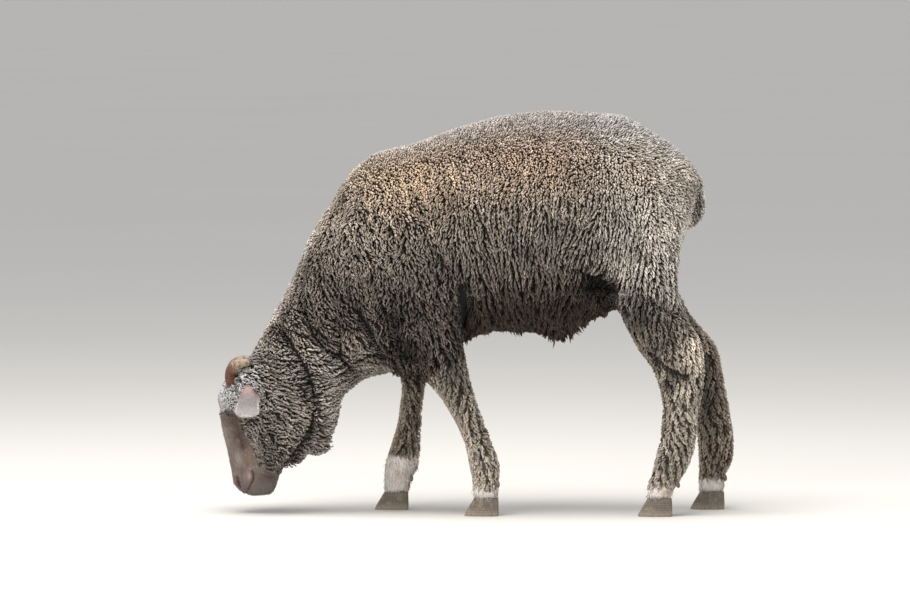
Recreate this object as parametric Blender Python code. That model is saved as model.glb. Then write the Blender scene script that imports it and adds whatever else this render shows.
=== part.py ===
"""A shorn sheep, grazing: a still, life-size model of a young Merino with a short fleece.

Metres, +Z up. The sheep faces -X, its left side is at -Y, and its soles are on z = 0.
The body is modelled whole, out to the tips of the wool, and then parted with thin cuts
into head, neck, trunk, tail and legs. Ears, horns, eyes, claws and dewclaws are pieces
of their own that stand a hair's breadth off the body.
"""
import math

import bmesh
import bpy
from mathutils import Matrix, Vector

# Driving sizes of the animal, wool included.
BACK_HEIGHT = 0.7045      # floor to the top of the loin
WITHERS_HEIGHT = 0.646
BELLY_HEIGHT = 0.316
BROW_X = -0.455           # foremost point of the forehead
SHOULDER_HALF = 0.124     # half widths, seen from above
RIBS_HALF = 0.154
LOIN_HALF = 0.146
HIP_HALF = 0.132
NECK_HALF = 0.082
BROW_HALF = 0.062
FORE_SPREAD = 0.068       # sideways, from the middle to a foot
HIND_SPREAD = 0.078

# The horny parts and the eye.
CORONET_HEIGHT = 0.031    # top of the claws
CLAW_LENGTH = 0.056
CLAW_WIDTH = 0.0190
CLAW_SPLIT = 0.0026       # the cleft between two claws
DEWCLAW_LENGTH = 0.017
DEWCLAW_HEIGHT = 0.057
EYE_RADIUS = 0.0125
EYE_X = -0.4290
EYE_SPREAD = 0.0378
EYE_HEIGHT = 0.1748
EAR_LENGTH = 0.0750
EAR_HALF_WIDTH = 0.0240
HORN_RADIUS = 0.0115      # at its thickest

# How the body is worked.
GAP = 0.0003              # air left between neighbouring pieces
BODY_VOXEL = 0.005
TAIL_VOXEL = 0.004
BODY_TRIANGLES = 4300     # before the cuts
RING_SIDES = 32
STEPS_BETWEEN = 4         # rings between two named stations


# ---------------------------------------------------------------- basic tools

def clear_scene():
    for obj in list(bpy.data.objects):
        bpy.data.objects.remove(obj, do_unlink=True)


def material(name, colour, roughness):
    mat = bpy.data.materials.new(name)
    mat.use_nodes = True
    shader = mat.node_tree.nodes["Principled BSDF"]
    shader.inputs["Base Color"].default_value = (*colour, 1.0)
    shader.inputs["Roughness"].default_value = roughness
    shader.inputs["Metallic"].default_value = 0.0
    return mat


def new_object(name, mesh, mat=None):
    obj = bpy.data.objects.new(name, mesh)
    bpy.context.scene.collection.objects.link(obj)
    if mat is not None:
        mesh.materials.clear()
        mesh.materials.append(mat)
    return obj


def evaluated_mesh(obj):
    """The object's mesh with its modifiers applied."""
    depsgraph = bpy.context.evaluated_depsgraph_get()
    depsgraph.update()
    return bpy.data.meshes.new_from_object(obj.evaluated_get(depsgraph))


def bake(obj):
    """Applies the object's modifiers to its own mesh."""
    mesh = evaluated_mesh(obj)
    obj.modifiers.clear()
    obj.data = mesh


def as_cutter(obj):
    obj.hide_render = True
    obj.display_type = "WIRE"
    return obj


def cut_away(obj, cutter):
    """Takes the cutter's volume out of the object and throws the cutter away."""
    cut = obj.modifiers.new("cut", "BOOLEAN")
    cut.operation = "DIFFERENCE"
    cut.solver = "EXACT"
    cut.object = cutter
    bake(obj)
    remove(cutter)


def remove(obj):
    bpy.data.objects.remove(obj, do_unlink=True)


def turned_box(centre, size, lean):
    """Where a unit shape goes: its place, its lean about the sideways axis, its size."""
    return Matrix.Translation(centre) @ Matrix.Rotation(lean, 4, "Y") @ Matrix.Diagonal((*size, 1.0))


def smooth_between(values, place):
    """Catmull-Rom through a list of equal tuples, at a place counted in stations."""
    last = len(values) - 1
    index = min(int(place), last - 1)
    t = place - index
    a = values[max(index - 1, 0)]
    b = values[index]
    c = values[index + 1]
    d = values[min(index + 2, last)]
    return tuple(
        0.5 * (2 * q + (r - p) * t + (2 * p - 5 * q + 4 * r - s) * t * t
               + (3 * q - p - 3 * r + s) * t ** 3)
        for p, q, r, s in zip(a, b, c, d)
    )


def add_rings(bm, rings):
    """Skins a list of closed rings, and closes both ends with a fan."""
    loops = [[bm.verts.new(point) for point in ring] for ring in rings]
    for low, high in zip(loops, loops[1:]):
        count = len(low)
        for k in range(count):
            n = (k + 1) % count
            bm.faces.new((low[k], low[n], high[n], high[k]))
    for loop, flip in ((loops[0], True), (loops[-1], False)):
        middle = bm.verts.new(sum((v.co for v in loop), Vector()) / len(loop))
        count = len(loop)
        for k in range(count):
            pair = (loop[k], loop[(k + 1) % count])
            if flip:
                pair = (pair[1], pair[0])
            bm.faces.new((*pair, middle))


def finish_mesh(bm, name):
    bmesh.ops.recalc_face_normals(bm, faces=bm.faces)
    mesh = bpy.data.meshes.new(name)
    bm.to_mesh(mesh)
    bm.free()
    mesh.shade_smooth()
    return mesh


# ---------------------------------------------------------------- body forms
# A station is one section across a part: its upper or front point (x, z), its lower or
# back point (x, z), its half width, and its taper, which is how much narrower the upper
# or front half is than the lower or back half. A leg adds its middle's sideways place.

def section_ring(station, fullness):
    x1, z1, x2, z2, half, taper, *sideways = station
    middle = sum(sideways)
    ring = []
    for k in range(RING_SIDES):
        angle = 2 * math.pi * k / RING_SIDES
        along = math.cos(angle)
        across = math.copysign(abs(math.sin(angle)) ** fullness, math.sin(angle))
        across *= 1.0 - taper * along
        ring.append(Vector((
            (x1 + x2) / 2 + (x1 - x2) / 2 * along,
            middle + half * across,
            (z1 + z2) / 2 + (z1 - z2) / 2 * along,
        )))
    return ring


def loft(bm, stations, fullness=1.0):
    """Sections joined smoothly; a fullness of 1 is an ellipse, and less is squarer."""
    count = (len(stations) - 1) * STEPS_BETWEEN
    places = [k / STEPS_BETWEEN for k in range(count + 1)]
    add_rings(bm, [section_ring(smooth_between(stations, place), fullness) for place in places])


def limb(bm, stations, side):
    """A leg from (x, height, half depth, half width, sideways place) stations."""
    sections = []
    for k, (x, z, depth, half, out) in enumerate(stations):
        before = stations[max(k - 1, 0)]
        after = stations[min(k + 1, len(stations) - 1)]
        run = Vector((after[0] - before[0], after[1] - before[1])).normalized()
        front = (x + run.y * depth, z - run.x * depth)
        back = (x - run.y * depth, z + run.x * depth)
        sections.append((*front, *back, half, 0.0, side * out))
    loft(bm, sections)


def blob(bm, centre, radii, lean=0.0):
    """A rounded mass, leaning forward by an angle about the sideways axis."""
    place = turned_box(centre, radii, lean)
    bmesh.ops.create_uvsphere(bm, u_segments=28, v_segments=16, radius=1.0, matrix=place)


def add_trunk(bm):
    back = BACK_HEIGHT
    belly = BELLY_HEIGHT
    loft(bm, [
        (-0.262, 0.502, -0.232, 0.352, 0.040, 0.0),  # chest, inside the neck
        (-0.245, 0.567, -0.205, 0.262, 0.088, 0.10),  # breast
        (-0.190, 0.626, -0.165, 0.248, 0.112, 0.20),  # point of the shoulder
        (-0.120, WITHERS_HEIGHT, -0.100, 0.254, SHOULDER_HALF, 0.24),
        (-0.050, 0.670, -0.040, 0.290, 0.136, 0.20),
        (0.020, back - 0.0125, 0.020, belly, 0.148, 0.14),
        (0.090, back - 0.0015, 0.085, belly + 0.001, RIBS_HALF, 0.08),  # the widest ribs
        (0.150, back, 0.150, belly + 0.001, 0.152, 0.04),
        (0.210, back - 0.0035, 0.215, 0.344, LOIN_HALF, 0.04),  # loin and flank
        (0.262, back - 0.0105, 0.262, 0.367, 0.138, 0.10),  # hips
        (0.315, 0.662, 0.302, 0.382, HIP_HALF, 0.18),
        (0.358, 0.632, 0.328, 0.407, 0.112, 0.16),
        (0.384, 0.594, 0.342, 0.442, 0.078, 0.06),  # seat of the rump
        (0.386, 0.562, 0.362, 0.482, 0.030, 0.0),
    ], 0.92)
    for side in (-1, 1):
        blob(bm, (-0.105, side * 0.072, 0.407), (0.112, 0.058, 0.170), 0.18)  # shoulder
        blob(bm, (0.283, side * 0.074, 0.477), (0.070, 0.058, 0.150), -0.04)  # haunch
    blob(bm, (0.134, -0.010, 0.322), (0.030, 0.034, 0.022))  # matted belly wool


def add_neck(bm):
    loft(bm, [
        (-0.150, 0.634, -0.100, 0.267, 0.060, 0.20),
        (-0.200, 0.610, -0.155, 0.244, 0.100, 0.22),  # base of the neck
        (-0.257, 0.545, -0.198, 0.234, 0.096, 0.20),
        (-0.294, 0.485, -0.220, 0.218, 0.088, 0.14),
        (-0.324, 0.416, -0.238, 0.198, 0.084, 0.08),
        (-0.353, 0.359, -0.244, 0.170, NECK_HALF, 0.04),
        (-0.384, 0.305, -0.250, 0.134, 0.080, 0.02),
        (-0.398, 0.278, -0.268, 0.112, 0.066, 0.0),
        (-0.395, 0.242, -0.310, 0.122, 0.030, 0.0),  # ends inside the head
    ])
    blob(bm, (-0.286, 0.0, 0.130), (0.046, 0.038, 0.030), 0.45)  # loose throat wool


def add_head(bm):
    brow = BROW_X
    loft(bm, [  # skull and bare face
        (-0.425, 0.257, -0.335, 0.262, 0.040, 0.0),
        (-0.445, 0.212, -0.312, 0.217, 0.058, 0.04),
        (brow + 0.004, 0.182, -0.306, 0.172, BROW_HALF, -0.14),  # brow
        (-0.4505, 0.148, -0.312, 0.134, 0.051, 0.08),
        (-0.443, 0.114, -0.328, 0.097, 0.042, 0.22),  # bridge of the nose
        (-0.4365, 0.084, -0.344, 0.074, 0.035, 0.16),
        (-0.4300, 0.060, -0.350, 0.058, 0.0330, -0.06),  # nostrils
        (-0.4220, 0.043, -0.354, 0.044, 0.0290, -0.06),
        (-0.4100, 0.0335, -0.361, 0.0335, 0.022, 0.0),  # lips
        (-0.4000, 0.031, -0.372, 0.031, 0.012, 0.0),
    ], 0.80)
    loft(bm, [  # woolly forehead and poll
        (-0.395, 0.272, -0.335, 0.307, 0.030, 0.0),
        (-0.420, 0.256, -0.310, 0.284, 0.058, 0.0),
        (-0.443, 0.234, -0.298, 0.250, 0.071, 0.0),
        (brow, 0.206, -0.300, 0.208, 0.073, -0.04),
        (brow + 0.001, 0.190, -0.320, 0.182, 0.066, -0.08),
        (brow + 0.014, 0.180, -0.345, 0.170, 0.050, -0.04),
    ])
    for side in (-1, 1):
        blob(bm, (-0.345, side * 0.036, 0.168), (0.060, 0.041, 0.092), -0.16)  # cheek wool
        blob(bm, (-0.368, side * 0.027, 0.105), (0.036, 0.029, 0.038), -0.30)  # jaw wool
        blob(bm, (-0.4215, side * 0.0180, 0.059), (0.0085, 0.0100, 0.013))  # nostril wing


LEGS = {
    "fore_left": (-1, [  # left fore, standing back
        (-0.100, 0.352, 0.060, 0.034, FORE_SPREAD + 0.014),
        (-0.072, 0.287, 0.050, 0.034, FORE_SPREAD + 0.012),
        (-0.050, 0.244, 0.038, 0.031, FORE_SPREAD + 0.006),
        (-0.038, 0.217, 0.0300, 0.027, FORE_SPREAD + 0.002),
        (-0.022, 0.182, 0.0260, 0.024, FORE_SPREAD),  # knee
        (-0.008, 0.150, 0.0235, 0.022, FORE_SPREAD),
        (0.002, 0.122, 0.0245, 0.022, FORE_SPREAD),
        (0.0110, 0.090, 0.0275, 0.025, FORE_SPREAD),  # fetlock
        (0.0140, 0.072, 0.0260, 0.0245, FORE_SPREAD),
        (0.0130, 0.058, 0.0235, 0.0225, FORE_SPREAD),
        (0.0130, 0.040, 0.0225, 0.0225, FORE_SPREAD),
        (0.012, 0.015, 0.0215, 0.0215, FORE_SPREAD),
    ]),
    "fore_right": (1, [  # right fore, standing forward
        (-0.108, 0.352, 0.060, 0.034, FORE_SPREAD + 0.014),
        (-0.112, 0.287, 0.046, 0.034, FORE_SPREAD + 0.012),
        (-0.112, 0.244, 0.0300, 0.030, FORE_SPREAD + 0.006),
        (-0.113, 0.217, 0.0215, 0.026, FORE_SPREAD + 0.002),
        (-0.117, 0.180, 0.0210, 0.024, FORE_SPREAD),  # knee
        (-0.121, 0.147, 0.0225, 0.022, FORE_SPREAD),
        (-0.126, 0.117, 0.0260, 0.023, FORE_SPREAD),
        (-0.132, 0.088, 0.0285, 0.025, FORE_SPREAD),  # fetlock
        (-0.137, 0.072, 0.0265, 0.0245, FORE_SPREAD),
        (-0.141, 0.058, 0.0235, 0.0225, FORE_SPREAD),
        (-0.143, 0.040, 0.0225, 0.0225, FORE_SPREAD),
        (-0.144, 0.015, 0.0215, 0.0215, FORE_SPREAD),
    ]),
    "hind_left": (-1, [  # left hind, standing forward
        (0.288, 0.422, 0.062, 0.050, HIND_SPREAD - 0.004),
        (0.297, 0.372, 0.055, 0.046, HIND_SPREAD),  # stifle
        (0.318, 0.323, 0.053, 0.041, HIND_SPREAD),
        (0.345, 0.279, 0.0500, 0.036, HIND_SPREAD),
        (0.354, 0.240, 0.0425, 0.032, HIND_SPREAD),  # hock
        (0.353, 0.200, 0.0355, 0.028, HIND_SPREAD),
        (0.351, 0.166, 0.0325, 0.026, HIND_SPREAD),
        (0.348, 0.130, 0.0325, 0.026, HIND_SPREAD),
        (0.338, 0.096, 0.0315, 0.027, HIND_SPREAD),  # fetlock
        (0.328, 0.074, 0.0265, 0.0250, HIND_SPREAD),
        (0.320, 0.058, 0.0235, 0.0225, HIND_SPREAD),
        (0.316, 0.040, 0.0225, 0.0225, HIND_SPREAD),
        (0.315, 0.015, 0.0215, 0.0215, HIND_SPREAD),
    ]),
    "hind_right": (1, [  # right hind, standing back
        (0.288, 0.422, 0.062, 0.050, HIND_SPREAD - 0.004),
        (0.305, 0.372, 0.050, 0.046, HIND_SPREAD),  # stifle
        (0.338, 0.322, 0.043, 0.041, HIND_SPREAD),
        (0.372, 0.285, 0.0420, 0.036, HIND_SPREAD),
        (0.3865, 0.263, 0.0430, 0.034, HIND_SPREAD),  # hock
        (0.394, 0.240, 0.0385, 0.031, HIND_SPREAD),
        (0.402, 0.212, 0.0360, 0.028, HIND_SPREAD),
        (0.413, 0.166, 0.0340, 0.026, HIND_SPREAD),
        (0.419, 0.127, 0.0335, 0.026, HIND_SPREAD),
        (0.420, 0.094, 0.0320, 0.027, HIND_SPREAD),  # fetlock
        (0.4155, 0.074, 0.0270, 0.0250, HIND_SPREAD),
        (0.4130, 0.058, 0.0235, 0.0225, HIND_SPREAD),
        (0.4120, 0.040, 0.0225, 0.0225, HIND_SPREAD),
        (0.411, 0.015, 0.0215, 0.0215, HIND_SPREAD),
    ]),
}


def add_legs(bm):
    for side, stations in LEGS.values():
        limb(bm, stations, side)


def melt_together(obj, voxel, passes):
    """Turns overlapping closed masses into one closed, softened skin."""
    remesh = obj.modifiers.new("one skin", "REMESH")
    remesh.mode = "VOXEL"
    remesh.voxel_size = voxel
    soften = obj.modifiers.new("soften", "SMOOTH")
    soften.factor = 0.5
    soften.iterations = passes
    bake(obj)


def whole_body():
    """Every mass of the body as one closed, softened skin out to the wool's tips."""
    bm = bmesh.new()
    add_trunk(bm)
    add_neck(bm)
    add_head(bm)
    add_legs(bm)
    body = new_object("body_form", finish_mesh(bm, "body_form"))
    melt_together(body, BODY_VOXEL, 4)
    thin_out(body)
    return body


def thin_out(body):
    """Fewer triangles on the broad trunk and neck, more on the head and the feet."""
    detail = body.vertex_groups.new(name="plain")
    for vert in body.data.vertices:
        x, y, z = vert.co
        bare_face = x < -0.385 and z < 0.197 and abs(y) < 0.058
        head = x < -0.30 and z < 0.29
        weight = 0.93 if bare_face else 0.97 if head or z < 0.14 else 1.0
        detail.add([vert.index], weight, "REPLACE")
    thin = body.modifiers.new("thin out", "DECIMATE")
    thin.use_collapse_triangulate = True
    thin.vertex_group = "plain"
    triangles = 2 * len(body.data.polygons)
    thin.ratio = BODY_TRIANGLES / triangles
    bake(body)


# ---------------------------------------------------------------- cuts

def slab(centre, size, lean):
    """A box turned about the sideways axis; a thin one parts two pieces."""
    bm = bmesh.new()
    bmesh.ops.create_cube(bm, size=1.0, matrix=turned_box(centre, size, lean))
    return as_cutter(new_object("cutter", finish_mesh(bm, "cutter")))


def cut_between(low, high, middle=0.0, width=0.5):
    """A slab one gap thick whose face runs through two (x, z) points."""
    start = Vector(low)
    end = Vector(high)
    run = end - start
    lean = math.atan2(-run.y, run.x)
    centre = ((start.x + end.x) / 2, middle, (start.y + end.y) / 2)
    return slab(centre, (run.length, width, GAP), lean)


def haunch_cuts():
    """One slanting slab over both haunches, and one upright below it between them."""
    low = Vector((0.215, 0.322))
    high = Vector((0.400, 0.482))
    drop = 0.24
    run = (high - low).normalized()
    lean = math.atan2(-run.y, run.x)
    middle = (low + high) / 2 + Vector((run.y, -run.x)) * drop / 2
    between = slab((middle.x, 0.0, middle.y), ((high - low).length + 0.1, GAP, drop), lean)
    return [cut_between(low, high), between]


def part_body(body):
    """Cuts the body into its parts; the slabs run through air outside each joint."""
    below = CORONET_HEIGHT / 2 - 0.1
    cuts = [
        slab((0.140, 0.0, below), (0.700, 0.4, CORONET_HEIGHT + 0.2), 0.0),  # room for the claws
        cut_between((-0.430, 0.367), (-0.262, 0.072)),  # head from neck
        cut_between((-0.262, 0.662), (-0.140, 0.202)),  # neck from trunk
        cut_between((-0.122, 0.212), (0.020, 0.310), -FORE_SPREAD, 0.110),  # left fore leg
        cut_between((-0.200, 0.231), (-0.040, 0.231), FORE_SPREAD, 0.110),  # right fore leg
        *haunch_cuts(),
    ]
    for cutter in cuts:
        cut_away(body, cutter)


def islands(mesh):
    """The mesh's separate closed bodies, as lists of face indices."""
    bm = bmesh.new()
    bm.from_mesh(mesh)
    bm.faces.ensure_lookup_table()
    unseen = set(range(len(bm.faces)))
    found = []
    while unseen:
        start = unseen.pop()
        group = [start]
        stack = [bm.faces[start]]
        while stack:
            face = stack.pop()
            for edge in face.edges:
                for other in edge.link_faces:
                    if other.index in unseen:
                        unseen.discard(other.index)
                        group.append(other.index)
                        stack.append(other)
        found.append(group)
    bm.free()
    return found


def keep_faces(mesh, wanted, name):
    bm = bmesh.new()
    bm.from_mesh(mesh)
    bm.faces.ensure_lookup_table()
    keep = set(wanted)
    bmesh.ops.delete(bm, geom=[f for f in bm.faces if f.index not in keep], context="FACES")
    return finish_mesh(bm, name)


def name_parts(body, parts):
    """Makes one named object of each cut part, told apart by a point on each."""
    mesh = body.data
    groups = islands(mesh)
    for name, anchor in parts.items():
        point = Vector(anchor)
        nearest = min(groups, key=lambda group: min(
            (mesh.polygons[f].center - point).length for f in group))
        new_object(name, keep_faces(mesh, nearest, name), wool(name))
        groups.remove(nearest)
    remove(body)


# ---------------------------------------------------------------- pieces set in the body

def swollen(obj):
    """A cutter one gap larger all round than the piece that it makes room for."""
    cutter = as_cutter(new_object("room", obj.data.copy()))
    grow = cutter.modifiers.new("grow", "DISPLACE")
    grow.strength = GAP * 1.5
    grow.mid_level = 0.0
    bake(cutter)
    return cutter


def make_tail():
    """A docked tail: a short woolly flap that hangs over the seat."""
    bm = bmesh.new()
    blob(bm, (0.3745, 0.0, 0.554), (0.0245, 0.030, 0.054), -0.10)
    blob(bm, (0.3690, 0.0, 0.521), (0.0180, 0.025, 0.026), 0.20)
    tail = new_object("tail", finish_mesh(bm, "tail"), wool("tail"))
    melt_together(tail, TAIL_VOXEL, 3)
    thin = tail.modifiers.new("thin out", "DECIMATE")
    thin.ratio = 0.06
    bake(tail)
    return tail


def make_ear(name, side):
    """A leaf that hangs out and down, its back bulging up and its hollow facing down."""
    root = Vector((-0.3970, side * 0.0520, 0.2300))
    along = Vector((-0.075, side * 0.70, -0.66)).normalized()
    across = Vector((1.0, side * 0.06, 0.02))
    across = (across - along * across.dot(along)).normalized()
    back = across.cross(along).normalized() * side
    steps = 9
    half_ring = 5
    rings = []
    for k in range(steps + 1):
        s = k / steps
        spread = 0.40 + 0.60 * min(s / 0.85, 1.0) ** 1.1
        half = EAR_HALF_WIDTH * spread * (1.0 - 0.42 * max((s - 0.80) / 0.20, 0.0) ** 2.5)
        lobe = 0.0065 * math.exp(-((s - 0.44) / 0.11) ** 2)
        thick = 0.0022 * (1 - s) ** 1.5 + 0.0014
        curl = 0.32 * half * (1.15 - s)
        droop = -0.006 * s * s
        middle = root + along * (EAR_LENGTH * s) + back * droop
        ring = []
        for j in range(2 * half_ring):
            angle = math.pi * (j + 0.5) / half_ring
            u = math.cos(angle)
            bulge = curl * (1 - u * u) + thick * math.sin(angle)
            ring.append(middle + across * (half * u + lobe * max(u, 0.0) ** 2) + back * bulge)
        rings.append(ring)
    bm = bmesh.new()
    add_rings(bm, rings)
    skin = material(name, (0.62, 0.52, 0.49), 0.75)
    return new_object(name, finish_mesh(bm, name), skin)


def make_horn(name, side):
    """A short scur that rises from the forehead and bends back over the poll."""
    stations = [  # (x, z, sideways, radius)
        (-0.4275, 0.2220, 0.0330, 0.86 * HORN_RADIUS),
        (-0.4325, 0.2340, 0.0360, 0.88 * HORN_RADIUS),
        (-0.4315, 0.2455, 0.0395, 0.94 * HORN_RADIUS),
        (-0.4285, 0.2550, 0.0425, HORN_RADIUS),
        (-0.4200, 0.2625, 0.0450, 0.88 * HORN_RADIUS),
        (-0.4095, 0.2655, 0.0475, 0.70 * HORN_RADIUS),
        (-0.3985, 0.2665, 0.0490, 0.50 * HORN_RADIUS),
    ]
    sides = 10
    steps = 12
    places = [k * (len(stations) - 1) / steps for k in range(steps + 1)]
    line = [smooth_between(stations, place) for place in places]
    rings = []
    for k, (x, z, out, radius) in enumerate(line):
        before = line[max(k - 1, 0)]
        after = line[min(k + 1, steps)]
        run = Vector((after[0] - before[0], 0.0, after[1] - before[1])).normalized()
        outward = Vector((-run.z, 0.0, run.x))
        sideways = Vector((0.0, side, 0.0))
        rings.append([
            Vector((x, side * out, z))
            + outward * (radius * math.cos(2 * math.pi * j / sides))
            + sideways * (radius * 0.95 * math.sin(2 * math.pi * j / sides))
            for j in range(sides)
        ])
    bm = bmesh.new()
    add_rings(bm, rings)
    return new_object(name, finish_mesh(bm, name), material(name, (0.36, 0.20, 0.13), 0.5))


def make_eye(name, side):
    bm = bmesh.new()
    centre = (EYE_X, side * EYE_SPREAD, EYE_HEIGHT)
    place = Matrix.Translation(centre) @ Matrix.Rotation(math.pi / 2, 4, "X")
    bmesh.ops.create_uvsphere(bm, u_segments=12, v_segments=7, radius=EYE_RADIUS, matrix=place)
    return new_object(name, finish_mesh(bm, name), material(name, (0.05, 0.035, 0.02), 0.12))


def make_claw(name, foot_x, foot_y, side):
    """One claw of a cloven hoof: a flat sole, a sloping toe wall and a straight cleft wall."""
    sides = 16
    top = CORONET_HEIGHT - GAP
    levels = (0.0, 0.003, 0.018, top)
    rings = []
    for level in levels:
        s = level / top
        toe = foot_x - CLAW_LENGTH * (0.70 - 0.33 * s)
        heel = foot_x + CLAW_LENGTH * (0.40 - 0.02 * s)
        if level == 0.0:
            toe += 0.0012
            heel -= 0.0012
        width = CLAW_WIDTH * (0.97 if level == 0.0 else 1.0)
        ring = []
        for j in range(sides):
            angle = 2 * math.pi * j / sides
            along = math.cos(angle)
            across = math.sin(angle)
            square = math.copysign(abs(across) ** 0.6, across)
            narrow = 1.0 - 0.42 * max(-along, 0.0) ** 2
            out = CLAW_SPLIT / 2 + width * (0.5 + 0.5 * square) * narrow
            ring.append(Vector(((toe + heel) / 2 + (heel - toe) / 2 * along, foot_y + side * out, level)))
        rings.append(ring)
    bm = bmesh.new()
    add_rings(bm, rings)
    mesh = finish_mesh(bm, name)
    mesh.set_sharp_from_angle(angle=math.radians(40))
    return new_object(name, mesh, material(name, (0.10, 0.085, 0.07), 0.55))


def make_dewclaw(name, place):
    """A small blunt horny knob behind the fetlock."""
    bm = bmesh.new()
    half = DEWCLAW_LENGTH / 2
    turn = turned_box(place, (0.0062, 0.0052, half), -0.55)
    bmesh.ops.create_uvsphere(bm, u_segments=8, v_segments=5, radius=1.0, matrix=turn)
    return new_object(name, finish_mesh(bm, name), material(name, (0.12, 0.10, 0.08), 0.55))


def wool(name):
    shades = {
        "head": (0.17, 0.15, 0.13), "neck": (0.13, 0.115, 0.10), "trunk": (0.20, 0.17, 0.14),
        "tail": (0.24, 0.22, 0.20),
    }
    return material(name, shades.get(name, (0.15, 0.13, 0.105)), 0.95)


FEET = {                                              # (foot x, side, spread, back of the pastern)
    "fore_left": (0.0140, -1, FORE_SPREAD, 0.0350),
    "fore_right": (-0.1440, 1, FORE_SPREAD, -0.1165),
    "hind_left": (0.3160, -1, HIND_SPREAD, 0.3485),
    "hind_right": (0.4130, 1, HIND_SPREAD, 0.4365),
}


def centre_on_origin():
    """Slides the finished sheep so that the origin is under the middle of its bounding box."""
    pieces = [obj for obj in bpy.data.objects if obj.type == "MESH" and not obj.hide_render]
    points = [vert.co for obj in pieces for vert in obj.data.vertices]
    shift = Vector((0.0, 0.0, 0.0))
    for axis in range(2):
        values = [point[axis] for point in points]
        shift[axis] = -(min(values) + max(values)) / 2
    for obj in pieces:
        obj.data.transform(Matrix.Translation(shift))


def main():
    clear_scene()
    body = whole_body()
    set_in = [make_tail()]
    for side, word in ((-1, "left"), (1, "right")):
        set_in.append(make_ear("ear_" + word, side))
        set_in.append(make_horn("horn_" + word, side))
        set_in.append(make_eye("eye_" + word, side))
    for foot, (x, side, spread, back) in FEET.items():
        for claw_side, word in ((side, "outer"), (-side, "inner")):
            make_claw("claw_" + foot + "_" + word, x, side * spread, claw_side)
            place = (back, side * spread + claw_side * 0.0115, DEWCLAW_HEIGHT)
            set_in.append(make_dewclaw("dewclaw_" + foot + "_" + word, place))
    for piece in set_in:
        cut_away(body, swollen(piece))
    part_body(body)
    name_parts(body, {
        "head": (-0.455, 0.0, 0.192),
        "neck": (-0.300, 0.0, 0.472),
        "trunk": (0.126, 0.0, 0.706),
        "leg_fore_left": (0.014, -FORE_SPREAD, 0.082),
        "leg_fore_right": (-0.135, FORE_SPREAD, 0.082),
        "leg_hind_left": (0.340, -HIND_SPREAD, 0.102),
        "leg_hind_right": (0.420, HIND_SPREAD, 0.102),
    })
    centre_on_origin()


main()
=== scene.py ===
# %% [markdown]
# # A shorn sheep, grazing
# A young Merino a few months after shearing, with its head down to the grass. The fleece is
# short and dense: crimped locks stand so close together that they show as wavy ridges with
# dark gaps between them. The face, the ears and the feet have short hair.
#
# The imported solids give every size. This lesson puts one skin under them, grows the coat out
# to their surface as solid locks, and finishes horn, hoof, ear and eye.

# %% Load the frame and measure it
import math

import bmesh
import bpy
import numpy as np
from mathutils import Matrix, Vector, noise
from mathutils.bvhtree import BVHTree
from mathutils.kdtree import KDTree


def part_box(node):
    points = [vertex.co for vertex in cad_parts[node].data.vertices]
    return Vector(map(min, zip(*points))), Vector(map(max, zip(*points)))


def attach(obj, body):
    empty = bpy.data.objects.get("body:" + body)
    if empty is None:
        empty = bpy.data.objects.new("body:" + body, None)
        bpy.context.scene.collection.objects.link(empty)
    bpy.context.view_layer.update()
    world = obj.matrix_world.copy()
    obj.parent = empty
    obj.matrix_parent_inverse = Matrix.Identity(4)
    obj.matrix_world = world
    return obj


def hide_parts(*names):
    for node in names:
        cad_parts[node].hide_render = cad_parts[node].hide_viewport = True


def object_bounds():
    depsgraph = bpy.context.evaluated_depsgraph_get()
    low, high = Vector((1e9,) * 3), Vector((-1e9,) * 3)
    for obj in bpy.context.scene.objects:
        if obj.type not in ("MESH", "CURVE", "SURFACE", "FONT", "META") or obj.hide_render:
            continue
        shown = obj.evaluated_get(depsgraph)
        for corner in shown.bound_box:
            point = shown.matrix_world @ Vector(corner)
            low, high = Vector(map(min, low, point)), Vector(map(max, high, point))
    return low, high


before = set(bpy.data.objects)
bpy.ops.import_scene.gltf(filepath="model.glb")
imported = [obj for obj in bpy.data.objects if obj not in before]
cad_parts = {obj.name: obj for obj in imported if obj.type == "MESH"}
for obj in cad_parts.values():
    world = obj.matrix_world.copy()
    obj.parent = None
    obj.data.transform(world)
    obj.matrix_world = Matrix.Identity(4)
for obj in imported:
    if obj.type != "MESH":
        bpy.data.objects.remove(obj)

cad_low, cad_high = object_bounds()
middle = (cad_low + cad_high) / 2
MM = 0.001
print("solids:", len(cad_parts), "box in mm:", [round(v / MM) for v in cad_high - cad_low])

# %% [markdown]
# ## Camera, floor and light
# A long lens from twelve metres keeps the legs nearly upright and parallel, as when a sheep is
# watched from across a paddock. The floor is one big pale disc, so that it still fills the
# frame far behind the animal. The light is soft: a wide panel overhead, as an overcast sky
# gives, a weaker one from the front, and a pale world.

# %% Camera
CAMERA_DISTANCE = 12.0
CAMERA_HEIGHT_ANGLE = math.radians(3.0)
VIEW_WIDTH = 1.5925                 # metres across the frame at the animal
AIM_X, AIM_Z = -0.0387, 0.0145      # from the animal's middle to the middle of the frame
SENSOR = 36.0


def placed(name, data):
    """A new object in the scene, which shows the data."""
    obj = bpy.data.objects.new(name, data)
    bpy.context.scene.collection.objects.link(obj)
    return obj


aim = Vector((middle.x + AIM_X, 0.0, middle.z + AIM_Z))
back_off = Vector((0.0, -math.cos(CAMERA_HEIGHT_ANGLE), math.sin(CAMERA_HEIGHT_ANGLE)))
lens = bpy.data.cameras.new("camera")
lens.sensor_width = SENSOR
lens.lens = SENSOR * CAMERA_DISTANCE / VIEW_WIDTH
lens.clip_end = 500.0
camera = placed("camera", lens)
camera.location = aim + back_off * CAMERA_DISTANCE
camera.rotation_euler = (-back_off).to_track_quat("-Z", "Y").to_euler()
bpy.context.scene.camera = camera
print("lens in mm:", round(lens.lens, 1))


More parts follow.
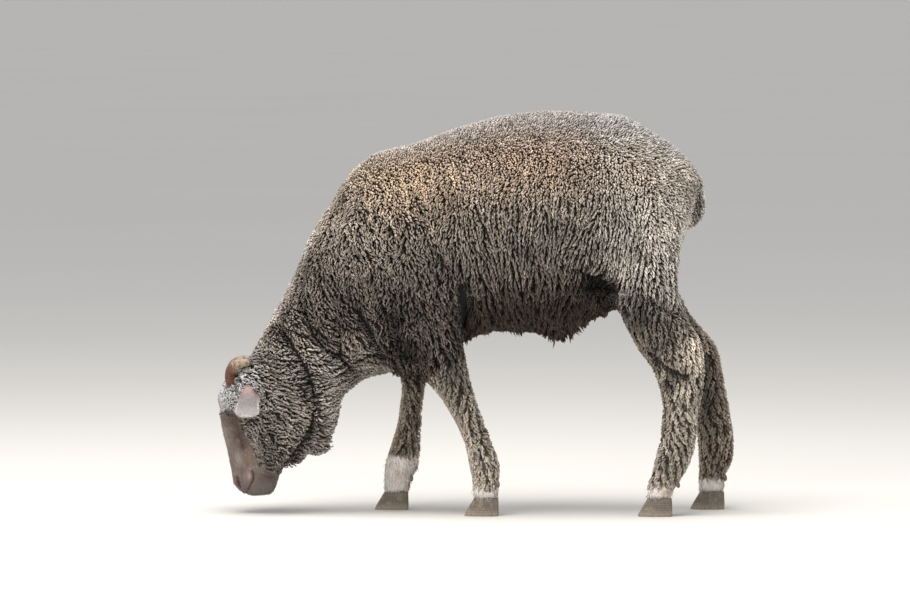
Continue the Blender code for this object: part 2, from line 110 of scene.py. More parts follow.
# %% Lights
def panel(name, place, size, watts, colour):
    """A square soft light that faces the animal."""
    light = bpy.data.lights.new(name, "AREA")
    light.size = size
    light.energy = watts
    light.color = colour
    obj = placed(name, light)
    obj.location = place
    obj.rotation_euler = (middle - obj.location).to_track_quat("-Z", "Y").to_euler()


panel("sky_panel", Vector((-0.5, -0.9, 4.0)), 3.0, 210.0, (1.0, 0.985, 0.96))
panel("front_panel", Vector((-2.4, -4.6, 2.6)), 2.4, 60.0, (1.0, 0.97, 0.93))
world = bpy.data.worlds.new("soft_day")
world.use_nodes = True
sky = world.node_tree.nodes["Background"]
sky.inputs["Color"].default_value = (0.86, 0.88, 0.92, 1.0)
sky.inputs["Strength"].default_value = 0.75
bpy.context.scene.world = world
bpy.context.scene.view_settings.view_transform = "Standard"

# %% [markdown]
# ## Shader sums written as sums
# A material is easier to read as an expression than as a list of links. This class holds one
# output of a node, and Python's own signs add the Math nodes. Colours and directions keep
# their three numbers only in Mix and Vector Math nodes, so those have their own names here.


# %% A socket that can be reckoned with
class Value:
    """One output in a material, with a few signs for numbers and names for colours."""

    def __init__(self, finish, socket):
        self.finish = finish
        self.socket = socket

    def maths(self, operation, first, second=0.0):
        return self.finish.node("ShaderNodeMath", {"operation": operation}, {0: first, 1: second})

    def __add__(self, other):
        return self.maths("ADD", self, other)

    __radd__ = __add__

    def __mul__(self, other):
        return self.maths("MULTIPLY", self, other)

    __rmul__ = __mul__

    def __sub__(self, other):
        return self.maths("SUBTRACT", self, other)

    def __rsub__(self, other):
        return self.maths("SUBTRACT", other, self)

    def __pow__(self, other):
        return self.maths("POWER", self, other)

    def wave(self):
        """The sine of this value: bands, where the value grows along a surface."""
        return self.maths("SINE", self)

    def ramp(self, low, high):
        """0 below the low value, 1 above the high one, and smooth between."""
        settings = {"interpolation_type": "SMOOTHSTEP"}
        return self.finish.node("ShaderNodeMapRange", settings, {"Value": self, 1: low, 2: high})

    def out(self, name):
        """Another output of the same node."""
        return Value(self.finish, self.socket.node.outputs[name])

    def to(self, other, share):
        """A colour that goes from this one to the other."""
        return self.finish.mix("MIX", self, other, share)

    def times(self, other, share=1.0):
        """A colour stained with the other."""
        return self.finish.mix("MULTIPLY", self, other, share)


print("a value knows + - * and **, and ramp, wave, out, to and times")


# %% A material made from expressions
class Finish:
    """A material made from a few expressions."""

    def __init__(self, name, roughness):
        self.material = bpy.data.materials.new(name)
        self.material.use_nodes = True
        self.tree = self.material.node_tree
        self.shader = self.tree.nodes["Principled BSDF"]
        self.shader.inputs["Roughness"].default_value = roughness

    def put(self, socket, value):
        """Links a value to a socket, or sets a number or a colour on it."""
        if isinstance(value, Value):
            self.tree.links.new(value.socket, socket)
        elif socket.type == "RGBA" and len(value) == 3:
            socket.default_value = (*value, 1.0)
        else:
            socket.default_value = value

    def node(self, kind, settings=None, inputs=None):
        """Any node: its type, then its settings, then the values or links of its sockets."""
        made = self.tree.nodes.new(kind)
        for name, value in (settings or {}).items():
            setattr(made, name, value)
        for name, value in (inputs or {}).items():
            self.put(made.inputs[name], value)
        return Value(self, next(out for out in made.outputs if out.enabled))

    def mix(self, blend, first, second, share):
        settings = {"data_type": "RGBA", "blend_type": blend}
        return self.node("ShaderNodeMix", settings, {0: share, 6: first, 7: second})

    def kept(self, name):
        """The colour that a mesh keeps under this name at each of its points."""
        return self.node("ShaderNodeAttribute", {"attribute_name": name})

    def kept_number(self, name):
        return self.kept(name).out("Fac")

    def place(self, squeeze=(1.0, 1.0, 1.0), turn=(0.0, 0.0, 0.0)):
        """Where a point is on the animal, in metres, squeezed and turned at will."""
        here = self.node("ShaderNodeTexCoord").out("Object")
        return self.node("ShaderNodeMapping", {}, {"Vector": here, "Scale": squeeze, "Rotation": turn})

    def noise(self, scale, detail=3.0, roughness=0.55, **placing):
        """Cloudy noise over the animal, on places that may be squeezed or turned."""
        sockets = {"Scale": scale, "Detail": detail, "Roughness": roughness}
        return self.node("ShaderNodeTexNoise", {}, {"Vector": self.place(**placing), **sockets})

    def colour(self, value):
        self.put(self.shader.inputs["Base Color"], value)

    def rough(self, value):
        self.put(self.shader.inputs["Roughness"], value)

    def bump(self, height, strength, depth):
        """Small relief that the light sees: depth is in metres."""
        sockets = {"Height": height, "Strength": strength, "Distance": depth}
        relief = self.node("ShaderNodeBump", {}, sockets)
        self.put(self.shader.inputs["Normal"], relief)


def shade_of(red, green, blue):
    """A colour as a paint chart gives it, 0 to 255, as the light that it sends back."""
    parts = [v / 255 for v in (red, green, blue)]
    return tuple(v / 12.92 if v <= 0.04045 else ((v + 0.055) / 1.055) ** 2.4 for v in parts)


print("white is", shade_of(255, 255, 255))

# %% [markdown]
# ## The floor
# A plain pale floor with only a breath of unevenness. It is one flat disc, as nothing on it has
# to stand out.

# %% Floor
FLOOR_REACH = 220.0


def mesh_of(name, bm):
    """A new mesh with what a bmesh holds, which is freed."""
    mesh = bpy.data.meshes.new(name)
    bm.to_mesh(mesh)
    bm.free()
    return mesh


floor_paint = Finish("floor_paint", roughness=0.9)
floor_grain = floor_paint.noise(0.6, detail=2.0)
floor_paint.colour(floor_paint.mix("MIX", shade_of(214, 210, 203), shade_of(220, 216, 210), floor_grain))
disc = bmesh.new()
bmesh.ops.create_circle(disc, cap_ends=True, segments=96, radius=FLOOR_REACH)
floor_mesh = mesh_of("floor", disc)
floor_mesh.materials.append(floor_paint.material)
floor = placed("floor", floor_mesh)
print("floor faces:", len(floor_mesh.polygons))

# %% [markdown]
# ## One skin under the coat
# The solids of head, neck, trunk, tail and legs end where the wool ends, and thin gaps part
# them. A real hide has no gaps. Boolean unions would join them too, but leave long thin
# triangles that can't be shaped. So the solids are swollen by half a millimetre, which closes
# the gaps, and remeshed into one closed surface of small squares. Each square's corner knows
# which solid it came from, because the coat differs from part to part.

# %% Join the flesh solids and remesh them
LEGS = [f"leg_{end}_{side}" for end in ("fore", "hind") for side in ("left", "right")]
FORE, HIND = LEGS[:2], LEGS[2:]
FLESH = ["head", "neck", "trunk", "tail", *LEGS]
SWELL = 0.5 * MM
SKIN_VOXEL = 4.0 * MM


def solid_of(name):
    """A node's own mesh in a bmesh, with the corners that its file keeps apart joined."""
    bm = bmesh.new()
    bm.from_mesh(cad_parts[name].data)
    bmesh.ops.remove_doubles(bm, verts=bm.verts, dist=1e-6)
    bm.normal_update()
    return bm


def joined_flesh():
    """All flesh solids in one bmesh, each swollen a little, with each face's owner.

    The eyes go in too and count as head, so that they fill their sockets.
    """
    bm = bmesh.new()
    owners = []
    for name in (*FLESH, "eye_left", "eye_right"):
        index = FLESH.index(name) if name in FLESH else FLESH.index("head")
        part = solid_of(name)
        corners = [bm.verts.new(v.co + v.normal * SWELL) for v in part.verts]
        for face in part.faces:
            bm.faces.new([corners[v.index] for v in face.verts])
            owners.append(index)
        part.free()
    bm.normal_update()
    return bm, owners


def evaluated(obj):
    """A new mesh of the object with its modifiers applied."""
    graph = bpy.context.evaluated_depsgraph_get()
    return bpy.data.meshes.new_from_object(obj.evaluated_get(graph))


flesh, flesh_owner = joined_flesh()
flesh_tree = BVHTree.FromBMesh(flesh)
skin = placed("skin", mesh_of("flesh", flesh))
remesh = skin.modifiers.new("one surface", "REMESH")
remesh.mode = "VOXEL"
remesh.voxel_size = SKIN_VOXEL
skin_mesh = evaluated(skin)
skin.modifiers.clear()
skin.data = skin_mesh
print("skin squares:", len(skin_mesh.polygons))

# %% [markdown]
# The face needs finer squares than the flank, for lids, nostrils and lips. Dividing only the
# squares of the face keeps the rest light.

# %% Finer squares on the face
FACE_TOP = 0.215
FACE_BACK = -0.345


def divide(mesh, wanted):
    """Cuts every edge whose two ends are wanted into two."""
    bm = bmesh.new()
    bm.from_mesh(mesh)
    chosen = [e for e in bm.edges if wanted(e.verts[0].co) and wanted(e.verts[1].co)]
    bmesh.ops.subdivide_edges(bm, edges=chosen, cuts=1, use_grid_fill=True)
    bmesh.ops.triangulate(bm, faces=[f for f in bm.faces if len(f.verts) > 4])
    bm.to_mesh(mesh)
    bm.free()


divide(skin_mesh, lambda p: p.x < FACE_BACK and p.z < FACE_TOP + 0.03)
divide(skin_mesh, lambda p: p.x < FACE_BACK - 0.015 and p.z < FACE_TOP)
print("skin faces with a finer face:", len(skin_mesh.polygons))

# %% [markdown]
# The skin has too many points to visit one by one in Python. They are kept as rows of arrays,
# so that one line works on all of them. Softening is the tool used most: each value moves
# towards the mean of its neighbours' values, and steps between the parts fade out.


# %% Arrays for quick sums over the skin
def vectors(items, name):
    flat = np.empty(len(items) * 3)
    items.foreach_get(name, flat)
    return flat.reshape(-1, 3)


def unit(v):
    return v / np.maximum(np.linalg.norm(v, axis=1, keepdims=True), 1e-12)


skin_edges = np.empty(len(skin_mesh.edges) * 2, int)
skin_mesh.edges.foreach_get("vertices", skin_edges)
skin_edges = skin_edges.reshape(-1, 2)
edge_ends = np.concatenate((skin_edges[:, 0], skin_edges[:, 1]))
edge_others = np.concatenate((skin_edges[:, 1], skin_edges[:, 0]))
edge_count = np.maximum(np.bincount(edge_ends, minlength=len(skin_mesh.vertices)), 1)


def soften(values, passes, share=0.5, where=None):
    """Moves each skin value towards the mean of its neighbours' values, again and again."""
    values = np.array(values, float)
    flat = values.reshape(len(values), -1)
    for _ in range(passes):
        for column in flat.T:
            around = np.bincount(edge_ends, column[edge_others], minlength=len(column))
            move = (around / edge_count - column) * share
            column += move if where is None else move * where
    return values


def ramp(value, low, high):
    """0 below the low value, 1 above the high one, and smooth between."""
    t = np.clip((value - low) / (high - low), 0.0, 1.0)
    return t * t * (3.0 - 2.0 * t)


def blend(first, second, share):
    """Rows of colours or directions that go from the first to the second by each row's share."""
    return first + np.subtract(second, first) * share[:, None]


surface = soften(vectors(skin_mesh.vertices, "co"), 8)
skin_mesh.vertices.foreach_set("co", surface.ravel())
skin_mesh.update()
normals = unit(soften(vectors(skin_mesh.vertices, "normal"), 6))
part_of = np.array([flesh_owner[flesh_tree.find_nearest(Vector(p))[2]] for p in surface])
print("points of each part:", dict(zip(FLESH, np.bincount(part_of).tolist())))

# %% [markdown]
# ## Where the wool ends, and how it lies
# A Merino's wool runs down the legs to the pasterns and covers the cheeks and the forehead,
# but the face is bare of it from the brow down. The bare face ends at a line that runs from
# beside the eye, down and back along the cheek, to the throat.
#
# The coat is described by a handful of numbers at every point of the skin: how deep it is,
# how wide and how long its ridges are, how far apart the locks stand and how they lean. They
# could be painted on by hand. Sums of place are used, because they come out the same each time.

# %% Lines on the animal
CHEEK_LINE_Z = [0.030, 0.070, 0.074, 0.083, 0.100, 0.118, 0.134, 0.152, 0.180]
CHEEK_LINE_X = [-0.325, -0.335, -0.362, -0.383, -0.390, -0.396, -0.409, -0.417, -0.417]
BROW_LINE = 0.1775
CUFF = {"leg_fore_left": 0.052, "leg_fore_right": 0.098, "leg_hind_left": 0.054, "leg_hind_right": 0.056}
# Creases, as (x, z) seen from the side.
CHEEK_CREASE = [(-0.345, 0.322), (-0.322, 0.289), (-0.298, 0.249), (-0.287, 0.223), (-0.284, 0.184),
                (-0.289, 0.144), (-0.305, 0.120), (-0.327, 0.092), (-0.340, 0.079)]
THROAT_CREASE = [(-0.308, 0.358), (-0.291, 0.316), (-0.264, 0.286), (-0.237, 0.270), (-0.219, 0.246)]
NECK_CREASE = [(-0.242, 0.342), (-0.240, 0.307), (-0.237, 0.272)]
CHEST_CREASE = [(-0.214, 0.360), (-0.197, 0.329), (-0.182, 0.296), (-0.166, 0.272)]
ARMPIT = [(-0.150, 0.345), (-0.140, 0.300), (-0.115, 0.270)]
ELBOW_CREASE = [(-0.029, 0.400), (-0.023, 0.360), (-0.017, 0.330), (-0.011, 0.300)]
FLANK_CREASE = [(0.176, 0.432), (0.205, 0.418), (0.226, 0.394), (0.234, 0.352)]
THIGH_CREASE = [(0.278, 0.398), (0.303, 0.381), (0.329, 0.365), (0.351, 0.359)]
KNEE_CREASE = [(0.331, 0.339), (0.338, 0.309), (0.355, 0.295)]
HOCK_CREASE = [(0.300, 0.283), (0.318, 0.263), (0.346, 0.250), (0.367, 0.246)]
BREECH_CREASE = [(0.343, 0.520), (0.351, 0.504), (0.359, 0.482)]
LOW_BREECH_CREASE = [(0.339, 0.474), (0.344, 0.455), (0.350, 0.435)]
FLANK_HOLLOW = [(0.212, 0.386), (0.2121, 0.386)]
THROAT_CORNER = [(-0.252, 0.110), (-0.246, 0.122)]
print("cuffs above the floor in mm:", {leg: round(height / MM) for leg, height in CUFF.items()})


# %% Bare places
def among(on, *names):
    """True where the number of a part is that of one of those named."""
    return np.isin(on, [FLESH.index(name) for name in names])


def part(*names):
    """1 on the named parts of the skin, 0 elsewhere."""
    return among(part_of, *names).astype(float)


def away_from(path, points):
    """How far points are from the line through a path's corners."""
    nearest = np.full(len(points), 1e9)
    for a, b in zip(path, path[1:]):
        run = np.subtract(b, a)
        along = np.clip((points - a) @ run / (run @ run), 0.0, 1.0)
        nearest = np.minimum(nearest, np.linalg.norm(points - a - along[:, None] * run, axis=1))
    return nearest


def near_path(p, path, width, edge=2.0):
    """1 on a path seen from the side, half way down one width away; edge is how sharply."""
    return np.exp(-0.7 * (away_from(path, p[:, [0, 2]]) / width) ** edge)


x, y, z = surface.T
cheek_line = np.interp(z, CHEEK_LINE_Z, CHEEK_LINE_X)
eye_at = np.array((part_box("eye_left")[0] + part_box("eye_left")[1]) / 2)
from_eye = np.linalg.norm(np.stack((x, -np.abs(y), z), 1) - eye_at, axis=1)
brow_line = BROW_LINE + 6 * MM * np.exp(-(from_eye / (17 * MM)) ** 4)
face = part("head") * ramp(cheek_line - x, -2 * MM, 2 * MM) * ramp(brow_line - z, -2 * MM, 2 * MM)
pastern = sum(part(leg) * ramp(CUFF[leg] - z, -4 * MM, 4 * MM) for leg in LEGS)
short = np.clip(face + pastern, 0.0, 1.0)
side = np.abs(normals[:, 1])
print("share of the skin without wool:", round(float(short.mean()), 3))

# %% [markdown]
# A Merino's skin is loose, and the wool parts over each fold of it: behind the cheek and the
# throat, in front of the chest, behind the elbow, and round the thigh and the hock. A fold is
# a groove along a path, with the skin beside it raised, because it hangs over.

# %% Folds and hollows
outer = ramp(side, 0.1, 0.5)
FOLDS = [  # path, half width in mm, how deep, the parts it crosses, where its overhang lies
    (CHEEK_CREASE, 9.5, 1.0, ("head", "neck"), (-0.018, 0.006)),
    (THROAT_CREASE, 8.0, 1.0, ("neck",), (-0.010, -0.014)),
    (NECK_CREASE, 6.0, 0.9, ("neck",), (0.014, 0.0)),
    (CHEST_CREASE, 9.0, 1.0, ("neck", "trunk"), (-0.016, -0.006)),
    (ARMPIT, 13.0, 0.7, ("neck", "trunk"), None),
    (ELBOW_CREASE, 11.5, 1.0, ("trunk", *FORE), (-0.020, 0.0)),
    (FLANK_CREASE, 7.0, 1.0, ("trunk",), (0.020, 0.010)),
    (THIGH_CREASE, 5.0, 0.8, HIND, (0.005, 0.014)),
    (KNEE_CREASE, 4.5, 0.8, HIND, None),
    (HOCK_CREASE, 8.0, 1.0, HIND, (0.005, 0.017)),
    (BREECH_CREASE, 4.5, 0.9, ("trunk", *HIND), (0.014, 0.003)),
    (LOW_BREECH_CREASE, 4.5, 0.9, ("trunk", *HIND), (0.013, 0.003)),
]
fold = np.zeros(len(surface))
# gloom: how near a fold is, for the painted shade on the locks beside it and for their shorter run.
gloom = np.zeros(len(surface))
bulge = np.zeros(len(surface))
for path, width, strength, crossed, overhang in FOLDS:
    where = strength * outer * part(*crossed)
    fold = np.maximum(fold, where * near_path(surface, path, width * MM, 3.0))
    gloom = np.maximum(gloom, where * near_path(surface, path, 1.2 * width * MM, 3.0))
    if overhang:
        beside = [(px + overhang[0], pz + overhang[1]) for px, pz in path]
        bulge = np.maximum(bulge, where * near_path(surface, beside, 11 * MM))
hollow = outer * part("trunk") * near_path(surface, FLANK_HOLLOW, 24 * MM)
crease = np.clip(fold + hollow, 0.0, 1.0)
gloom = np.clip(gloom + hollow, 0.0, 1.0)
print("share of the skin in a fold:", round(float((crease > 0.5).mean()), 3))

# %% [markdown]
# Each part of the animal has its own numbers, and then places inside a part change them.
# Ridges are short on top of the back and on the rump, and wide and long on the low flank. The
# forehead's wool is short and dense, and the shins' is thin.

# %% The coat's numbers, part by part
WOOL = {  # depth, ridge width, ridge length, space, half width, how far over: millimetres
    "head": (11.0, 4.8, 9.0, 2.60, 1.50, 6.0),
    "neck": (16.0, 5.4, 30.0, 3.10, 1.75, 10.0),
    "trunk": (16.0, 5.2, 38.0, 3.22, 1.70, 10.5),
    "tail": (9.0, 5.4, 12.0, 3.30, 1.80, 6.0),
    "leg": (9.5, 9.5, 19.0, 3.20, 2.20, 8.0),
}


def change(values, share, new):
    """Moves the listed numbers of the coat towards new ones, where the share is high."""
    for column, value in new.items():
        values[:, column] += (value * MM - values[:, column]) * share


DEPTH, WIDTH, LENGTH, SPACE, HALF, OVER = range(6)
coat = np.array([WOOL[name.split("_")[0]] for name in FLESH])[part_of] * MM
top = ramp(normals[:, 2], 0.35, 0.85) * part("trunk", "neck")
rump = ramp(x, 0.24, 0.32) * ramp(z, 0.42, 0.50) * part("trunk")
upper = np.maximum(ramp(z, 0.50, 0.60) * part("trunk"), rump)
low_flank = part("trunk") * ramp(0.46 - z, 0.0, 0.08) * ramp(x, -0.06, 0.0)
forehead = part("head") * ramp(-0.418 - x, 0.0, 12 * MM) * ramp(z, 0.17, 0.185)
poll = part("head") * ramp(z, 0.20, 0.23)
round_eye = part("head") * np.exp(-(from_eye / (24 * MM)) ** 4)
thigh = part(*HIND) * ramp(z, 0.30, 0.36)
shank = part(*LEGS) * ramp(0.13 - z, 0.0, 0.06)
shin = part(*FORE) * ramp(-normals[:, 0], 0.35, 0.75) * ramp(0.235 - z, 0.0, 0.03)
change(coat, upper * 0.8, {WIDTH: 6.0, LENGTH: 10.0, SPACE: 3.20, OVER: 6.5})
change(coat, low_flank, {WIDTH: 8.5, LENGTH: 46.0})
change(coat, top, {WIDTH: 4.6, LENGTH: 7.0, SPACE: 3.25, OVER: 4.0})
change(coat, poll, {WIDTH: 5.0, LENGTH: 26.0, HALF: 1.5, OVER: 10.0})
change(coat, forehead, {DEPTH: 5.5, WIDTH: 3.2, LENGTH: 7.0, SPACE: 1.75, HALF: 1.05, OVER: 4.5})
change(coat, round_eye, {OVER: 2.0, DEPTH: 4.5})
change(coat, thigh, {DEPTH: 13.0, LENGTH: 36.0, WIDTH: 6.5, HALF: 2.0, OVER: 10.5})
change(coat, shank, {DEPTH: 6.5})
change(coat, shin, {DEPTH: 3.5, WIDTH: 4.0, LENGTH: 8.0, SPACE: 2.6, HALF: 1.3, OVER: 6.0})
change(coat, short, {DEPTH: 0.6})
coat = soften(coat, 10)
depth, ridge_width, ridge_length, space, lock_half, over = coat.T
# How deep the furrows are between ridges: 1 on the ribs, less where the wool stands even.
furrow = 1.0 - 0.75 * np.maximum(np.maximum(top, upper * 0.60), np.maximum(forehead, shin))
furrow = np.minimum(furrow, 1.0 - 0.12 * part(*LEGS))
furrow = soften(furrow, 10)
crease = soften(crease, 2)
print("coat depth in mm:", round(depth.min() / MM, 1), "to", round(depth.max() / MM, 1))

# %% [markdown]
# The coat lies down and back on the neck and shoulder, straight down on the ribs, a little
# forward before the thigh, back along the spine, and down the legs. It could be combed by hand
# with Blender's hair tools. Here a lie is given for each part and softened, and slow noise
# turns it a little, because wool never lies quite straight.

# %% The way the coat lies
LEAN_AT = [-0.40, -0.28, -0.15, 0.00, 0.10, 0.20, 0.27, 0.35]
LEAN = [0.60, 0.45, 0.30, 0.20, 0.00, -0.30, -0.05, 0.25]     # back for each metre down
lean_x = np.where(part(*LEGS) > 0, 0.10, np.interp(x, LEAN_AT, LEAN))
lie = np.stack((lean_x, 0.0 * x, -np.ones(len(x))), 1)
lie = blend(lie, (1.0, 0.0, -0.25), top)
lie = blend(lie, (1.0, 0.0, -0.9), part("neck") * ramp(0.385 - z, 0.0, 0.03) * (1.0 - top))
lie = blend(lie, (1.0, 0.0, 0.05), part("neck") * ramp(0.310 - z, 0.0, 0.03))
lie = blend(lie, (1.0, 0.0, -0.5), part("head") * (1.0 - face))
lie = blend(lie, (0.30, 0.0, -1.0), face)
lie = unit(soften(lie, 10))


def wander(points, size, seed):
    """Smooth noise from about -1 to 1, whose waves are about as long as the size."""
    return np.array([noise.noise(Vector(p) / size + Vector((seed, 0.0, 0.0))) for p in points]) * 1.6


small_sway = 0.20 + 1.1 * part("head") * ramp(0.235 - z, 0.0, 0.02)
sway = 0.34 * wander(surface, 38 * MM, 3.0) + small_sway * wander(surface, 13 * MM, 9.0)
lie = lie + np.cross(normals, lie) * (sway * (1.0 - short))[:, None]
lie = unit(lie - normals * (lie * normals).sum(1)[:, None])
print("mean lie on the trunk:", lie[part("trunk") > 0].mean(0).round(2))

# %% [markdown]
# ## Markings
# Colour could be painted on each mesh by hand, but skin and coat would hardly agree. It belongs
# to the animal and not to one mesh, so one function of place gives it, and both read that. The
# weather has bleached the back and dust has yellowed the shoulder; the ribs are grey-brown,
# and the belly is nearly black with damp and dirt, and with painted shade where it faces down.
# Painted shade also darkens hollows, the gaps between the legs and the legs' inner sides, and
# painted light brightens the nape and a few lit folds.

# %% The animal's colours
GREY = shade_of(186, 175, 163)
DEEP = shade_of(138, 128, 119)
PALE = shade_of(226, 219, 210)
GOLD = shade_of(217, 193, 166)
TAN = shade_of(196, 173, 152)
BELLY = shade_of(72, 59, 50)
LEG = shade_of(203, 192, 178)
PALE_LEG = shade_of(250, 241, 226)
LEG_DARK = shade_of(138, 124, 108)
NEUTRAL = shade_of(176, 168, 160)
WHITE = shade_of(242, 236, 231)
FOOT_TAN = shade_of(166, 130, 106)
FOREHEAD = shade_of(190, 189, 190)
FACE = shade_of(112, 101, 93)
FACE_TAN = shade_of(82, 57, 49)
FACE_PALE = shade_of(138, 130, 123)
FACE_GOLD = shade_of(126, 99, 78)
FACE_LIGHT = shade_of(164, 154, 151)
PINK = shade_of(136, 102, 96)
LIP = shade_of(164, 138, 134)
LIP_RED = shade_of(70, 46, 38)
JAW_GREY = shade_of(76, 70, 66)
MUZZLE = shade_of(102, 87, 86)
CHIN = shade_of(104, 98, 90)
print("light sent back by grey wool:", np.round(GREY, 2))

# %% Patches of colour, and of painted light and shade
# Patches: colour, how strong, the middle and the size as (x, z) seen from the side.
BACK_PATCHES = [
    (GOLD, 0.85, (-0.120, 0.580), (0.105, 0.060)),
    (TAN, 0.85, (0.090, 0.615), (0.120, 0.050)),
    (TAN, 0.80, (0.285, 0.610), (0.050, 0.035)),
]
FACE_PATCHES = [
    (FACE_PALE, 0.9, (-0.448, 0.140), (0.007, 0.040)),
    (FACE_TAN, 0.95, (-0.433, 0.166), (0.015, 0.015)),
    (FACE_TAN, 1.0, (-0.421, 0.139), (0.009, 0.018)),
    (FACE_TAN, 1.0, (-0.411, 0.118), (0.007, 0.014)),
    (FACE_TAN, 0.6, (-0.445, 0.171), (0.006, 0.014)),
    (FACE_LIGHT, 0.7, (-0.420, 0.096), (0.007, 0.012)),
    (FACE_TAN, 0.5, (-0.414, 0.075), (0.008, 0.006)),
    (FACE_GOLD, 0.8, (-0.402, 0.102), (0.008, 0.018)),
    (LIP, 0.9, (-0.397, 0.068), (0.006, 0.011)),
    (LIP_RED, 0.9, (-0.365, 0.066), (0.014, 0.007)),
    (JAW_GREY, 0.7, (-0.364, 0.042), (0.014, 0.007)),
    (PINK, 0.7, (-0.424, 0.050), (0.004, 0.010)),
]
# Painted shade and painted light on the wool: the dark patches are mostly painted shade in hollows,
# between the legs, under the horn and beside the tail, the light ones mostly painted light on lit folds; a
# few are the wool's own tone.
WOOL_SHADE_AND_LIGHT = [  # how light beside the rest, the middle and the size
    (0.42, (-0.135, 0.365), (0.050, 0.050)),
    (0.30, (0.283, 0.366), (0.026, 0.040)),
    (0.36, (-0.040, 0.250), (0.030, 0.060)),
    (0.14, (-0.130, 0.287), (0.031, 0.024)),
    (0.75, (-0.090, 0.285), (0.050, 0.030)),
    (0.70, (-0.047, 0.440), (0.045, 0.040)),
    (0.30, (0.330, 0.231), (0.018, 0.014)),
    (0.35, (0.404, 0.205), (0.016, 0.050)),
    (0.85, (0.215, 0.510), (0.070, 0.040)),
    (1.25, (0.322, 0.500), (0.040, 0.045)),
    (1.70, (-0.222, 0.303), (0.018, 0.022)),
    (0.68, (0.322, 0.290), (0.028, 0.035)),
    (0.52, (-0.366, 0.120), (0.020, 0.040)),
    (0.72, (0.340, 0.105), (0.030, 0.055)),
    (0.91, (0.265, 0.640), (0.080, 0.040)),
    (0.72, (-0.065, 0.540), (0.045, 0.030)),
    (0.72, (-0.235, 0.385), (0.035, 0.035)),
    (1.40, (-0.205, 0.455), (0.050, 0.040)),
    (1.80, (-0.312, 0.285), (0.022, 0.035)),
    (1.40, (-0.305, 0.145), (0.018, 0.040)),
    (1.72, (0.373, 0.297), (0.018, 0.032)),
    (0.20, (-0.015, 0.335), (0.017, 0.042)),
    (0.22, (0.203, 0.378), (0.032, 0.034)),
    (0.55, (-0.395, 0.268), (0.022, 0.014)),
    (0.84, (0.093, 0.480), (0.100, 0.035)),
    (1.32, (0.084, 0.380), (0.090, 0.028)),
    (0.89, (0.002, 0.128), (0.030, 0.045)),
    (0.93, (0.326, 0.550), (0.045, 0.035)),
    (0.62, (0.340, 0.396), (0.026, 0.024)),
    (0.72, (0.268, 0.392), (0.024, 0.020)),
    (1.70, (0.403, 0.558), (0.011, 0.034)),
    (0.30, (0.3875, 0.545), (0.005, 0.024)),
    (0.74, (-0.235, 0.560), (0.026, 0.026)),
]


def spot(p, centre, size):
    """A soft patch, as seen from the side: 1 in its middle and 0 well outside."""
    away = (p[:, [0, 2]] - centre) / size
    return np.exp(-(away ** 2).sum(1))


def patched(colour, p, patches):
    """A colour with soft patches laid over it, one after the other."""
    for shade, share, centre, size in patches:
        colour = blend(colour, shade, share * spot(p, centre, size))
    return colour


print("patches on the wool:", len(BACK_PATCHES) + len(WOOL_SHADE_AND_LIGHT), "on the face:", len(FACE_PATCHES))


# %% Colours by place
def wool_colours(p, n, on):
    """The wool's colour at points p with normals n, with painted light and shade laid in; on holds the
    number of each one's part.
    """
    px, py, pz = p.T
    on_leg = among(on, *LEGS)
    colour = patched(blend(DEEP, GREY, ramp(pz, 0.40, 0.58)), p, BACK_PATCHES)
    quarters = ramp(px, 0.17, 0.26) * ramp(pz, 0.34, 0.40)
    colour = blend(colour, PALE, quarters * (0.5 + 0.5 * ramp(0.56 - pz, 0.0, 0.06)))
    # Painted shade: wool that faces up is painted darker and cooler, against the strong light from above.
    top_shade = (ramp(n[:, 2], 0.50, 0.90) * ramp(pz, 0.30, 0.45))[:, None]
    colour = colour * (1.0 - top_shade * np.array((0.22, 0.18, 0.10)))
    # Painted highlight: a pale rim of light along the top of the nape, on surfaces facing up.
    crest = ramp(0.62 - np.abs(n[:, 1]), 0.0, 0.35) * ramp(n[:, 2], 0.15, 0.45)
    nape_rim_light = crest * ramp(-0.27 - px, 0.0, 0.03) * ramp(pz, 0.24, 0.27)
    colour = colour * (1.0 + nape_rim_light[:, None] * np.array((1.0, 1.08, 1.20)))
    colour = blend(colour, NEUTRAL, 0.8 * among(on, "head", "neck") * ramp(0.33 - pz, 0.0, 0.06))
    # Painted light: the front fold of the neck is painted pale where light falls on it.
    colour = blend(colour, PALE, 0.9 * spot(p, (-0.250, 0.185), (0.026, 0.060)))
    colour = blend(colour, LEG, on_leg * ramp(0.34 - pz, 0.0, 0.10))
    colour = blend(colour, PALE_LEG, 0.65 * on_leg * spot(p, (0.380, 0.270), (0.038, 0.050)))
    # The legs' inner sides are painted darker: painted shade between the legs, and dirtier fur.
    inner_leg_shade = on_leg * ramp(-n[:, 1] * np.sign(py), 0.2, 0.8)
    colour = blend(colour, LEG_DARK, 0.75 * inner_leg_shade)
    mottle = 0.10 * wander(p, 60 * MM, 31.0) + 0.09 * wander(p, 18 * MM, 37.0)
    colour = colour * (1.0 + mottle[:, None] * (1.0, 1.12, 1.25))
    # Painted shade and painted light: each patch darkens or lightens the wool.
    for light, centre, size in WOOL_SHADE_AND_LIGHT:
        colour = colour * (1.0 + (light - 1.0) * spot(p, centre, size))[:, None]
    on_trunk = among(on, "trunk")
    # The low trunk is painted near black: damp and dirt, and painted shade on the surfaces that face down.
    colour = blend(colour, BELLY, 0.9 * on_trunk * ramp(0.385 - pz, 0.0, 0.06) * ramp(px, -0.06, 0.02))
    return blend(colour, BELLY, on_trunk * ramp(-n[:, 2], 0.1, 0.7) * ramp(0.45 - pz, 0.0, 0.05))


